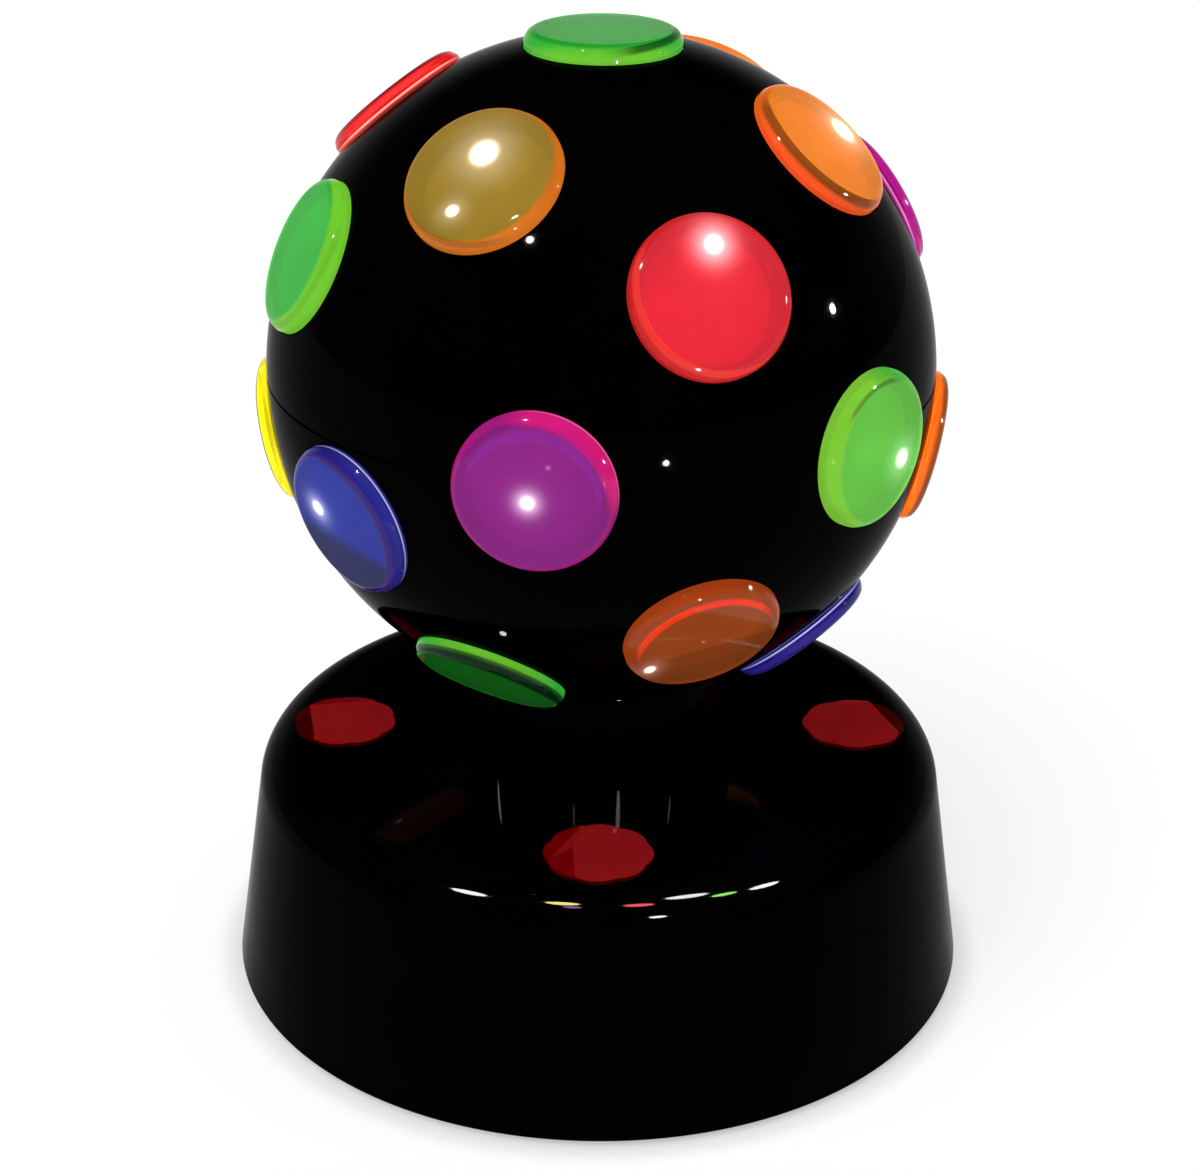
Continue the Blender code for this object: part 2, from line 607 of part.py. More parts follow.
def lens_direction(row, degrees):
    """The way a lens points: its row leans sideways from the middle row, which goes over the top."""
    turn = math.radians(LENS_TURN)
    front = Vector((math.sin(turn), -math.cos(turn), 0.0))
    right = Vector((math.cos(turn), math.sin(turn), 0.0))
    up = Vector((0.0, 0.0, 1.0))
    leans = {"middle": 0.0, "left": -LENS_ROW_TILT, "right": LENS_ROW_TILT,
             "left_cap": LENS_CAP_ANGLE - 90.0, "right_cap": 90.0 - LENS_CAP_ANGLE}
    lean = math.radians(leans[row])
    along = math.cos(math.radians(degrees)) * up + math.sin(math.radians(degrees)) * front
    return math.cos(lean) * along + math.sin(lean) * right


def lens_turns():
    """Each lens's name, colour and the rotation that takes +Z to its direction."""
    found = []
    for row, colours in LENS_COLOURS.items():
        for degrees, colour in colours.items():
            turn = lens_direction(row, degrees).to_track_quat("Z", "Y")
            found.append((f"lens_{row}_{degrees:03d}", colour, turn))
    return found


def build_ball(black, ball_axis):
    """The two halves of the ball, with a tongue in a rebate at the seam and a seat for each lens."""
    middle_radius = BALL_RADIUS - BALL_WALL / 2
    lower_rim = SEAM_HEIGHT - FIT / 2
    upper_rim = SEAM_HEIGHT + FIT / 2
    tongue_top = lower_rim + TONGUE_HEIGHT
    floor_top = floor_height + BALL_WALL
    outside = sphere_arc(BALL_RADIUS, floor_height, lower_rim, BALL_BANDS)
    inside = sphere_arc(ball_bore, tongue_top, floor_top, BALL_INNER_BANDS)
    lower = outside + [(middle_radius - FIT / 2, lower_rim), (middle_radius - FIT / 2, tongue_top)]
    lower += inside + [(FLOOR_BORE, floor_top), (FLOOR_BORE, floor_height)]
    outside = sphere_arc(BALL_RADIUS, upper_rim, BALL_RADIUS, BALL_BANDS)[:-1]
    inside = sphere_arc(ball_bore, ball_bore, tongue_top + FIT, BALL_INNER_BANDS)[1:]
    upper = outside + [(0.0, BALL_RADIUS), (0.0, ball_bore)] + inside
    upper += [(middle_radius + FIT / 2, tongue_top + FIT), (middle_radius + FIT / 2, upper_rim)]

    hole_radius = spigot_radius + FIT
    reach = BALL_RADIUS + OVERRUN
    seat = turned("seat", [(0.0, ball_bore - OVERRUN), (hole_radius, ball_bore - OVERRUN),
                           (hole_radius, seat_floor), (seat_radius, seat_floor), (seat_radius, reach),
                           (0.0, reach)], LENS_SIDES)
    seats = copies("seats", seat, [turn.to_matrix().to_4x4() for _, _, turn in lens_turns()])
    piece("ball_lower", cut(turned("ball_lower", lower, BALL_SIDES), [seats]), black, ball_axis)
    piece("ball_upper", cut(turned("ball_upper", upper, BALL_SIDES), [seats]), black, ball_axis)


def build_lenses(lens_finishes, ball_axis):
    """A round lens with an upright lip, a sloping shoulder, a flat face and a spigot in its hole."""
    lip_top = lens_bottom + LENS_LIP_HEIGHT
    shoulder_top = lip_top + LENS_SHOULDER_HEIGHT
    shoulder_radius = LENS_RADIUS - LENS_SHOULDER_INSET
    face = shoulder_top + LENS_CROWN_HEIGHT
    spigot_end = seat_floor - LENS_SPIGOT_DEPTH
    outline = [(0.0, spigot_end), (spigot_radius, spigot_end), (spigot_radius, lens_bottom),
               (LENS_RADIUS, lens_bottom), (LENS_RADIUS, lip_top), (shoulder_radius, shoulder_top),
               (shoulder_radius - LENS_CROWN_INSET, face), (0.0, face)]
    lens = turned("lens", outline, LENS_SIDES)
    for name, colour, turn in lens_turns():
        piece(name, lens, lens_finishes[colour], ball_axis, (0.0, 0.0, 0.0), turn)


def build_lamp(plastic, board, led_finishes):
    """The post that stands still inside the turning ball, with the LED board and LEDs on its top."""
    bore = POST_RADIUS - POST_WALL
    bottom = deck_top + FIT
    board_bottom = ball_z - LED_BOARD_DROP - LED_BOARD_THICKNESS
    board_top = board_bottom + LED_BOARD_THICKNESS
    outline = [(bore, bottom), (POST_FOOT_RADIUS, bottom), (POST_FOOT_RADIUS, bottom + POST_FOOT_THICKNESS),
               (POST_RADIUS, bottom + POST_FOOT_THICKNESS), (POST_RADIUS, board_bottom - FIT),
               (bore, board_bottom - FIT)]
    piece("lamp_post", turned("lamp_post", outline, MEDIUM_SIDES), plastic)
    piece("led_board", rod("led_board", LED_BOARD_RADIUS, board_bottom, board_top, MEDIUM_SIDES), board)
    low = board_top + FIT
    dome = arc(0.0, low + LED_HEIGHT, LED_RADIUS, 0.0, math.pi / 2, LED_DOME_STEPS)[:-1]
    outline = [(0.0, low), (LED_RADIUS, low)] + dome + [(0.0, low + LED_HEIGHT + LED_RADIUS)]
    led = turned("led", outline, SMALL_SIDES)
    for (name, material), angle in zip(led_finishes.items(), LED_ANGLES):
        piece(f"led_{name}", led, material, None, round_place(LED_RING, angle))


def jewel_mesh():
    """A round gem: flat table, a band of triangular facets down to the girdle, and a peg below."""
    step = math.tau / JEWEL_SIDES
    bottom = top_z + FIT
    girdle = bottom + JEWEL_GIRDLE
    table = girdle + JEWEL_CROWN
    peg_end = underside_z - JEWEL_PEG_STANDOUT
    rings = [(JEWEL_PEG_RADIUS, peg_end, 0.0), (JEWEL_PEG_RADIUS, bottom, 0.0), (JEWEL_RADIUS, bottom, 0.0),
             (JEWEL_RADIUS, girdle, 0.0), (JEWEL_RADIUS * JEWEL_TABLE_SHARE, table, step / 2)]
    points, faces = [], []
    for radius, height, shift in rings:
        points += [(radius * math.cos(step * side + shift), radius * math.sin(step * side + shift), height)
                   for side in range(JEWEL_SIDES)]
    for ring in range(len(rings) - 1):
        for side in range(JEWEL_SIDES):
            after = (side + 1) % JEWEL_SIDES
            low, low_next = ring * JEWEL_SIDES + side, ring * JEWEL_SIDES + after
            high, high_next = low + JEWEL_SIDES, low_next + JEWEL_SIDES
            if ring == len(rings) - 2:
                faces += [(low, low_next, high), (low_next, high_next, high)]
            else:
                faces.append((low, low_next, high_next, high))
    faces.append(tuple(reversed(range(JEWEL_SIDES))))
    faces.append(tuple(range(len(points) - JEWEL_SIDES, len(points))))
    return mesh_from("jewel", points, faces)


def build_jewels(red):
    gem = jewel_mesh()
    for name, angle in JEWEL_ANGLES.items():
        piece(f"jewel_{name}", gem, red, None, round_place(jewel_ring, angle))


def build_switch(plastic, knob_black, axis):
    """The switch behind the rear wall, and the knob that slides along X in the wall's slot."""
    pocket_half = (KNOB_WIDTH + SWITCH_TRAVEL) / 2 + RUN
    body_half = pocket_half + SWITCH_WALL
    body_high = KNOB_HEIGHT / 2 + RUN + SWITCH_WALL
    reach = drum_radius(SWITCH_HEIGHT + body_high, BASE_WALL)
    front = math.sqrt(reach ** 2 - body_half ** 2) - FIT
    body = block("switch_body", (-body_half, front - SWITCH_DEPTH, switch_z - body_high),
                 (body_half, front, switch_z + body_high))
    pocket = block("pocket", (-pocket_half, front - SWITCH_POCKET, switch_z - KNOB_HEIGHT / 2 - RUN),
                   (pocket_half, front + OVERRUN, switch_z + KNOB_HEIGHT / 2 + RUN))
    piece("switch_body", cut(body, [pocket]), plastic)
    inner = front - SWITCH_POCKET + FIT - axis.location.y
    outer = drum_radius(SWITCH_HEIGHT, 0.0) + KNOB_STANDOUT - axis.location.y
    knob = block("switch_knob", (-KNOB_WIDTH / 2, inner, -KNOB_HEIGHT / 2),
                 (KNOB_WIDTH / 2, outer, KNOB_HEIGHT / 2))
    piece("switch_knob", knob, knob_black, axis)


def build_driver_board(board):
    low = plate_top + BOARD_REST_HEIGHT + FIT
    mesh = block("driver_board", (board_x - BOARD_LENGTH / 2, board_y - BOARD_WIDTH / 2, low),
                 (board_x + BOARD_LENGTH / 2, board_y + BOARD_WIDTH / 2, low + BOARD_THICKNESS))
    return piece("driver_board", mesh, board)


def main():
    clear_scene()
    black = finish("gloss_black", 0.012, 0.012, 0.013, 0.12)
    plastic = finish("black_plastic", 0.03, 0.03, 0.032, 0.5)
    white = finish("white_acetal", 0.75, 0.74, 0.70, 0.4)
    steel = finish("steel", 0.55, 0.55, 0.56, 0.3, 1.0)
    motor_metal = finish("motor_metal", 0.45, 0.45, 0.46, 0.35, 1.0)
    rubber = finish("foot_rubber", 0.02, 0.02, 0.02, 0.85)
    brass = finish("brass", 0.70, 0.55, 0.25, 0.3, 1.0)
    wrap = finish("cell_wrap", 0.05, 0.06, 0.09, 0.35)
    board = finish("circuit_board", 0.02, 0.16, 0.06, 0.45)
    jewel_red = finish("jewel_red", 0.20, 0.004, 0.006, 0.08, 0.0, 0.6)
    lens_colours = {"green": (0.05, 0.46, 0.07), "red": (0.87, 0.045, 0.07), "orange": (0.91, 0.22, 0.02),
                    "amber": (0.30, 0.22, 0.03), "purple": (0.30, 0.016, 0.30), "blue": (0.026, 0.045, 0.38),
                    "yellow": (0.95, 0.79, 0.007)}
    lens_finishes = {name: finish(f"lens_{name}", *colour, 0.1, 0.0, 0.5)
                     for name, colour in lens_colours.items()}
    led_finishes = {"red": finish("led_red", 0.8, 0.1, 0.1, 0.2, 0.0, 0.5),
                    "green": finish("led_green", 0.1, 0.8, 0.1, 0.2, 0.0, 0.5),
                    "blue": finish("led_blue", 0.1, 0.2, 0.8, 0.2, 0.0, 0.5)}

    ball_axis = axis_empty("ball_axis", (0.0, 0.0, ball_z))
    pinion_axis = axis_empty("pinion_axis", (motor_x, motor_y, gear_bottom))
    door_axis = axis_empty("door_axis", (hinge_x, TRAY_MIDDLE_Y, hinge_z))
    wall_inside = drum_radius(SWITCH_HEIGHT, BASE_WALL)
    switch_axis = axis_empty("switch_axis", (-SWITCH_TRAVEL / 2, wall_inside, switch_z))

    build_base_shell(black)
    build_base_plate(plastic)
    build_battery_door(plastic, door_axis)
    build_cells(wrap, brass)
    build_feet_and_screws(rubber, steel)
    build_gear_deck(plastic)
    build_thrust_washer(white)
    build_drive(white, steel, motor_metal, ball_axis, pinion_axis)
    build_neck(black, ball_axis)
    build_ball(black, ball_axis)
    build_lenses(lens_finishes, ball_axis)
    build_lamp(plastic, board, led_finishes)
    build_jewels(jewel_red)
    build_switch(plastic, black, switch_axis)
    build_driver_board(board)


main()
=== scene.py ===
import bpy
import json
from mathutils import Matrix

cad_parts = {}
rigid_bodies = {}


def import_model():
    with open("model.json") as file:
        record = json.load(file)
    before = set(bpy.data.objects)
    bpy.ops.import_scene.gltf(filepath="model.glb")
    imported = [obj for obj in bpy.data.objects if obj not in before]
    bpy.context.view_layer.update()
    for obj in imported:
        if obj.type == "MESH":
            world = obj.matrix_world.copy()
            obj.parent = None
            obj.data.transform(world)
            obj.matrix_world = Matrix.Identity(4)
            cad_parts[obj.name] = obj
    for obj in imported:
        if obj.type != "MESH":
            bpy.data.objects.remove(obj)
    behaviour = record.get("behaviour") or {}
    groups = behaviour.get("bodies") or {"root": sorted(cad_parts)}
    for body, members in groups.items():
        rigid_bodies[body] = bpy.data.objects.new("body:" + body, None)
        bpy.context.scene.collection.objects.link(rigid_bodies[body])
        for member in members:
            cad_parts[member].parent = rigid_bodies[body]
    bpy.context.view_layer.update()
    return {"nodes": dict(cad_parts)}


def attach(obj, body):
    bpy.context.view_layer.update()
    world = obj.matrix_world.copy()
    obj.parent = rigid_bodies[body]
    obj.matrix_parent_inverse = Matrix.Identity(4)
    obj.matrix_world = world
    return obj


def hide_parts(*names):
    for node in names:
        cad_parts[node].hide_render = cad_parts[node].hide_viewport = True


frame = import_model()

import json
import math

import bmesh
import bpy
import numpy as np
from mathutils import Matrix, Vector

mm = 0.001     # sizes are in mm and angles in degrees, unless a note says otherwise
tau = math.tau
ballMiddle = np.array((0.0, 0.0, 119.3)) * mm
mergeGap = 1e-6     # corners of a carved mesh that are nearer than this, in metres, become one


def ringRows(profile, sides, turn=0.0):
    # every (radius, height) of the profile goes once round the Z axis: rows x sides x 3
    profile = np.asarray(profile, float)
    angle = tau * (np.arange(sides) + turn) / sides
    radius, height = profile[:, :1], profile[:, 1:]
    return np.stack([radius * np.cos(angle), radius * np.sin(angle), height + 0.0 * angle], -1)


def ringFaces(rows, sides, closed):
    # quads between each row and the next one, the columns wrapping round
    row = np.arange(rows if closed else rows - 1)[:, None]
    column = np.arange(sides)[None, :]
    after, above = (column + 1) % sides, (row + 1) % rows
    quads = [row * sides + column, row * sides + after, above * sides + after, above * sides + column]
    return np.stack(quads, -1).reshape(-1, 4)


def linked(name, data):
    # a new object for the mesh, lamp or camera, put into the scene
    made = bpy.data.objects.new(name, data)
    bpy.context.scene.collection.objects.link(made)
    return made


def newObject(name, points, faces):
    # a mesh at the origin, from rows of x, y and z and from lists of corner numbers
    mesh = bpy.data.meshes.new(name)
    mesh.from_pydata(np.asarray(points, float).reshape(-1, 3).tolist(), [], faces)
    mesh.update()
    return linked(name, mesh)


def turnedObject(name, profile, sides, turn=0.0):
    # a profile turned about Z: a profile that starts and ends on the axis is closed by two poles,
    # any other one is a closed ring
    profile = np.asarray(profile, float)
    polar = profile[0, 0] == 0.0
    rings = profile[1:-1] if polar else profile
    points = ringRows(rings, sides, turn).reshape(-1, 3)
    faces = ringFaces(len(rings), sides, not polar).tolist()
    if polar:
        low, high = len(points), len(points) + 1
        last = (len(rings) - 1) * sides
        ends = [(0.0, 0.0, profile[0, 1]), (0.0, 0.0, profile[-1, 1])]
        points = np.concatenate([points, ends])
        faces += [(low, (side + 1) % sides, side) for side in range(sides)]
        faces += [(high, last + side, last + (side + 1) % sides) for side in range(sides)]
    return newObject(name, points, faces)


def rounded(corners, radii, steps=4):
    # the outline with every corner that has a radius replaced by an arc that touches both of its sides
    corners = np.asarray(corners, float)
    out = []
    for index, corner in enumerate(corners):
        radius = radii[index]
        if radius <= 0.0:
            out.append(corner)
            continue
        before, after = corners[index - 1] - corner, corners[(index + 1) % len(corners)] - corner
        before, after = before / np.linalg.norm(before), after / np.linalg.norm(after)
        half = math.acos(float(np.clip(before @ after, -1.0, 1.0))) / 2.0
        middle = corner + (before + after) / np.linalg.norm(before + after) * radius / math.sin(half)
        start = corner + before * radius / math.tan(half) - middle
        end = corner + after * radius / math.tan(half) - middle
        share = np.linspace(0.0, 1.0, steps + 1)[:, None]
        spread = math.acos(float(np.clip(start @ end / radius ** 2, -1.0, 1.0)))
        swing = (np.sin((1 - share) * spread) * start + np.sin(share * spread) * end) / math.sin(spread)
        out += list(middle + swing)
    return np.array(out)


def arcPoints(middle, radius, start, end, steps):
    # points on a circle from one angle in degrees to the other
    angle = np.radians(np.linspace(start, end, steps + 1))
    return np.stack([middle[0] + radius * np.cos(angle), middle[1] + radius * np.sin(angle)], -1)


def movePoints(made, matrix):
    # the move goes into the mesh, so that the object stays at the origin
    made.data.transform(Matrix(matrix))
    return made


def shifted(x, y, z=0.0):
    # a move by so many mm
    return Matrix.Translation((x * mm, y * mm, z * mm))


def carve(made, cutters):
    # the piece's mesh is left as its modifiers and the cutters make it
    for cutter in cutters:
        change = made.modifiers.new("carve", "BOOLEAN")
        change.operation = "DIFFERENCE"
        change.solver = "EXACT"
        change.object = cutter
    bpy.context.view_layer.update()
    result = bpy.data.meshes.new_from_object(made.evaluated_get(bpy.context.evaluated_depsgraph_get()))
    made.modifiers.clear()
    made.data = result
    for cutter in cutters:
        bpy.data.objects.remove(cutter, do_unlink=True)
    work = bmesh.new()
    work.from_mesh(result)
    bmesh.ops.remove_doubles(work, verts=work.verts, dist=mergeGap)
    work.to_mesh(result)
    work.free()
    return made


def smooth(made, degrees=30.0):
    # soft shading that stops at the edges that are sharper than the angle
    made.data.shade_smooth()
    made.data.set_sharp_from_angle(angle=math.radians(degrees))
    return made


def truePositions(mesh):
    # every corner of the mesh, a row of x, y and z each
    spots = np.empty(len(mesh.vertices) * 3)
    mesh.vertices.foreach_get("co", spots)
    return spots.reshape(-1, 3)


def faceMiddles(made):
    # the middle of every face in mm
    return np.array([face.center for face in made.data.polygons]) / mm


def trueNormals(made, onSurface, normalAt, tolerance=0.02 * mm):
    # faces whose corners all lie on the exact surface get its exact normals, so that gloss runs
    # across the carved edges without a ripple
    mesh = made.data
    spots = truePositions(mesh)
    near = np.abs(onSurface(spots)) < tolerance
    corner = np.empty(len(mesh.loops), int)
    mesh.loops.foreach_get("vertex_index", corner)
    start = np.empty(len(mesh.polygons), int)
    total = np.empty(len(mesh.polygons), int)
    mesh.polygons.foreach_get("loop_start", start)
    mesh.polygons.foreach_get("loop_total", total)
    whole = np.logical_and.reduceat(near[corner], start)
    normals = np.empty(len(mesh.loops) * 3)
    mesh.corner_normals.foreach_get("vector", normals)
    normals = normals.reshape(-1, 3)
    exact = np.repeat(whole, total)
    normals[exact] = normalAt(spots[corner[exact]])
    mesh.normals_split_custom_set(normals.tolist())


def keepValues(made, name, values, where="POINT"):
    # a number for each corner or face, or one for them all, under a name that a finish reads
    layer = made.data.attributes.new(name, "FLOAT", where)
    layer.data.foreach_set("value", np.zeros(len(layer.data)) + values)


def dressed(made, body, node, slot, *finishes):
    # the piece takes the CAD node's place on its body, in these finishes
    made.data.materials.clear()
    for finish in finishes:
        made.data.materials.append(finish)
    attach(made, body)
    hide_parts(node)


def newFinish(name):
    # an empty finish, with its nodes and its shader at hand
    finish = bpy.data.materials.new(name)
    finish.use_nodes = True
    tree = finish.node_tree
    return finish, tree, tree.nodes["Principled BSDF"]


def addNode(tree, kind, **values):
    # a node of that kind, with its own settings
    node = tree.nodes.new(kind)
    for key, value in values.items():
        setattr(node, key, value)
    return node


def feed(tree, socket, value):
    # a socket takes another node's output through a link, and a plain value as it is
    if isinstance(value, bpy.types.NodeSocket):
        tree.links.new(value, socket)
    else:
        socket.default_value = value


def noiseOf(tree, scale, detail=3.0, roughness=0.5, stretch=None):
    # cloudy noise on the piece's own coordinates, drawn out along an axis where a stretch is given
    place = addNode(tree, "ShaderNodeTexCoord").outputs["Object"]
    noise = addNode(tree, "ShaderNodeTexNoise")
    noise.inputs["Scale"].default_value = scale
    noise.inputs["Detail"].default_value = detail
    noise.inputs["Roughness"].default_value = roughness
    if stretch is not None:
        mapping = addNode(tree, "ShaderNodeMapping")
        mapping.inputs["Scale"].default_value = stretch
        feed(tree, mapping.inputs["Vector"], place)
        place = mapping.outputs["Vector"]
    feed(tree, noise.inputs["Vector"], place)
    return noise.outputs["Fac"]


def rampOf(tree, source, stops):
    # colours at their places between 0 and 1, blended between the places
    ramp = addNode(tree, "ShaderNodeValToRGB")
    band = ramp.color_ramp.elements
    while len(band) < len(stops):
        band.new(1.0)
    for element, (place, colour) in zip(band, stops):
        element.position = place
        element.color = (*colour, 1.0)
    feed(tree, ramp.inputs["Fac"], source)
    return ramp.outputs["Color"]


def rangeOf(tree, source, low, high, fromLow=0.3, fromHigh=0.7):
    # the source's range, which is the middle of a noise where none is given, spread from low to high
    change = addNode(tree, "ShaderNodeMapRange")
    change.inputs["From Min"].default_value = fromLow
    change.inputs["From Max"].default_value = fromHigh
    change.inputs["To Min"].default_value = low
    change.inputs["To Max"].default_value = high
    feed(tree, change.inputs["Value"], source)
    return change.outputs["Result"]


def stepOf(tree, source, low, high):
    # 0 below the low value, 1 above the high one, a smooth change between
    result = rangeOf(tree, source, 0.0, 1.0, low, high)
    result.node.interpolation_type = "SMOOTHSTEP"
    return result


def mathOf(tree, operation, first, second=0.0):
    # one sum with one or two numbers or outputs
    node = addNode(tree, "ShaderNodeMath", operation=operation)
    feed(tree, node.inputs[0], first)
    feed(tree, node.inputs[1], second)
    return node.outputs[0]


def timesOf(tree, first, second):
    # the product of two numbers or outputs
    return mathOf(tree, "MULTIPLY", first, second)


def restOf(tree, share):
    # what the share leaves of 1
    return mathOf(tree, "SUBTRACT", 1.0, share)


def bellOf(tree, square, fade):
    # 1 in the middle, falling as e to the square of the distance times the fade, which is negative
    return mathOf(tree, "EXPONENT", timesOf(tree, square, fade))


bandEdges = {"start": (-0.06, 0.1), "end": (0.8, 1.1)}     # where a band of tone comes in and fades out


def bandOf(tree, place, share):
    # 1 where the place lies between 0 and 1, times the share
    inner = stepOf(tree, place, *bandEdges["start"])
    outer = restOf(tree, stepOf(tree, place, *bandEdges["end"]))
    return timesOf(tree, timesOf(tree, inner, outer), share)


def scaledColour(tree, colour, factor):
    # the colour times a number or an output
    node = addNode(tree, "ShaderNodeVectorMath", operation="SCALE")
    feed(tree, node.inputs[0], colour)
    feed(tree, node.inputs["Scale"], factor)
    return node.outputs[0]


def summedColour(tree, first, second):
    # two colours' light together
    node = addNode(tree, "ShaderNodeVectorMath", operation="ADD")
    feed(tree, node.inputs[0], first)
    feed(tree, node.inputs[1], second)
    return node.outputs[0]


def mixOf(tree, factor, first, second):
    # the first colour at 0 and the second one at 1
    mix = addNode(tree, "ShaderNodeMix", data_type="RGBA")
    for name, value in (("Factor", factor), ("A", first), ("B", second)):
        feed(tree, mix.inputs[name], (*value, 1.0) if isinstance(value, tuple) else value)
    return mix.outputs["Result"]


def valueOf(tree, name):
    # the numbers that keepValues put on the piece
    return addNode(tree, "ShaderNodeAttribute", attribute_name=name).outputs["Fac"]


def bumpOf(tree, shader, source, strength, depth):
    # relief from the source, its depth in mm
    bump = addNode(tree, "ShaderNodeBump")
    bump.inputs["Strength"].default_value = strength
    bump.inputs["Distance"].default_value = depth * mm
    feed(tree, bump.inputs["Height"], source)
    feed(tree, shader.inputs["Normal"], bump.outputs["Normal"])


def srgb(red, green, blue):
    # a colour read off the screen in 0 to 255, as the linear values that a socket takes
    value = np.array((red, green, blue)) / 255.0
    value = np.where(value <= 0.04045, value / 12.92, ((value + 0.055) / 1.055) ** 2.4)
    return tuple(float(part) for part in value)


plastic = {"cloudScale": 60.0, "cloudDetail": 4.0, "cloudFrom": 0.3, "cloudTo": 0.7, "wearScale": 350.0,
           "wear": 0.06, "grainScale": 2600.0, "grainDetail": 2.0, "grainStrength": 0.25, "grainDepth": 0.02}


def mouldedPlastic(name, colour, roughness, tone=0.25, grainDepth=plastic["grainDepth"]):
    # moulded plastic: faint cloudy tone, roughness that wanders, a fine moulded grain
    finish, tree, shader = newFinish(name)
    cloud = noiseOf(tree, plastic["cloudScale"], plastic["cloudDetail"])
    darker = tuple(part * (1.0 - tone) for part in colour)
    lighter = tuple(min(1.0, part * (1.0 + tone)) for part in colour)
    wear = noiseOf(tree, plastic["wearScale"])
    stops = [(plastic["cloudFrom"], darker), (plastic["cloudTo"], lighter)]
    feed(tree, shader.inputs["Base Color"], rampOf(tree, cloud, stops))
    feed(tree, shader.inputs["Roughness"],
         rangeOf(tree, wear, roughness - plastic["wear"], roughness + plastic["wear"]))
    bumpOf(tree, shader, noiseOf(tree, plastic["grainScale"], plastic["grainDetail"]),
           plastic["grainStrength"], grainDepth)
    return finish


metal = {"lineScale": 900.0, "lineRoughness": 0.6, "lineStrength": 0.3, "lineDepth": 0.02,
         "tarnishScale": 120.0, "tarnishDetail": 5.0, "tarnishFrom": 0.35, "tarnishTo": 0.65,
         "tarnish": 0.72, "polished": 0.08, "worn": 0.12}


def brushedMetal(name, colour, roughness, stretch):
    # metal with fine drawn lines and a little tarnish
    finish, tree, shader = newFinish(name)
    lines = noiseOf(tree, metal["lineScale"], roughness=metal["lineRoughness"], stretch=stretch)
    dull = tuple(part * metal["tarnish"] for part in colour)
    tarnish = noiseOf(tree, metal["tarnishScale"], metal["tarnishDetail"])
    stops = [(metal["tarnishFrom"], dull), (metal["tarnishTo"], colour)]
    feed(tree, shader.inputs["Base Color"], rampOf(tree, tarnish, stops))
    feed(tree, shader.inputs["Roughness"],
         rangeOf(tree, lines, roughness - metal["polished"], roughness + metal["worn"]))
    shader.inputs["Metallic"].default_value = 1.0
    bumpOf(tree, shader, lines, metal["lineStrength"], metal["lineDepth"])
    return finish


gloss = {"colour": (0.0004, 0.0004, 0.0005), "lighter": 1.8, "specular": 0.0085, "roughness": 0.03,
         "polished": 0.6, "worn": 1.9, "cloudScale": 45.0, "cloudDetail": 5.0, "cloudFrom": 0.35,
         "cloudTo": 0.75, "swirlScale": 700.0, "swirlDetail": 6.0, "swirlRoughness": 0.7,
         "waveScale": 28.0, "waveDetail": 2.0, "waveStrength": 0.06, "waveDepth": 0.05}


def glossBlack(name):
    # polished black moulding: nearly no colour, fine swirls in the roughness and a very faint wave
    finish, tree, shader = newFinish(name)
    cloud = noiseOf(tree, gloss["cloudScale"], gloss["cloudDetail"])
    light = tuple(part * gloss["lighter"] for part in gloss["colour"])
    swirls = noiseOf(tree, gloss["swirlScale"], gloss["swirlDetail"], gloss["swirlRoughness"])
    stops = [(gloss["cloudFrom"], gloss["colour"]), (gloss["cloudTo"], light)]
    feed(tree, shader.inputs["Base Color"], rampOf(tree, cloud, stops))
    feed(tree, shader.inputs["Roughness"], rangeOf(tree, swirls, gloss["roughness"] * gloss["polished"],
                                                   gloss["roughness"] * gloss["worn"]))
    shader.inputs["Specular IOR Level"].default_value = gloss["specular"]
    bumpOf(tree, shader, noiseOf(tree, gloss["waveScale"], gloss["waveDetail"]),
           gloss["waveStrength"], gloss["waveDepth"])
    return finish


print("camera")
# the camera's place and its near limit are in metres
view = {"place": (0.0, -0.4416, 0.2813), "tilt": 65.05, "roll": 0.35, "lens": 77.94, "sensor": 36.0,
        "clipStart": 0.02}
camera = linked("camera", bpy.data.cameras.new("camera"))
camera.data.sensor_fit = "HORIZONTAL"
camera.data.sensor_width = view["sensor"]
camera.data.lens = view["lens"]
camera.data.clip_start = view["clipStart"]
camera.matrix_world = (Matrix.Translation(view["place"]) @ Matrix.Rotation(math.radians(view["tilt"]), 4, "X")
                       @ Matrix.Rotation(math.radians(view["roll"]), 4, "Z"))
bpy.context.scene.camera = camera
bpy.context.scene.view_settings.view_transform = "Standard"


print("floor, sky and lamps")
# the floor's reach, hole and shade and the lamps' distance are in metres
room = {"floorReach": 3.0, "floorHole": 0.064, "floorRings": 24, "floorSides": 96, "floorShare": 0.5,
        "floorGlow": 0.58, "floorSeen": 0.06, "shadeFrom": 0.0705, "shadeTo": 0.0765, "shade": 0.2,
        "skyLight": 0.62, "skyShown": 1.0, "skySeen": 0.5, "skyDim": 0.02, "skyBehind": (0.2, 1.0),
        "skyLow": (0.1, 0.5), "sunStrength": 1.35, "sunSpread": 50.0, "sunWay": (-0.45, -0.75, 1.15),
        "lampDistance": 1.4}


def shownRays(tree):
    # 1 for what the camera sees, straight or through clear plastic, and 1 for what shows in gloss
    path = addNode(tree, "ShaderNodeLightPath")
    seen = mathOf(tree, "MAXIMUM", path.outputs["Is Camera Ray"], path.outputs["Is Transmission Ray"])
    return seen, path.outputs["Is Glossy Ray"]


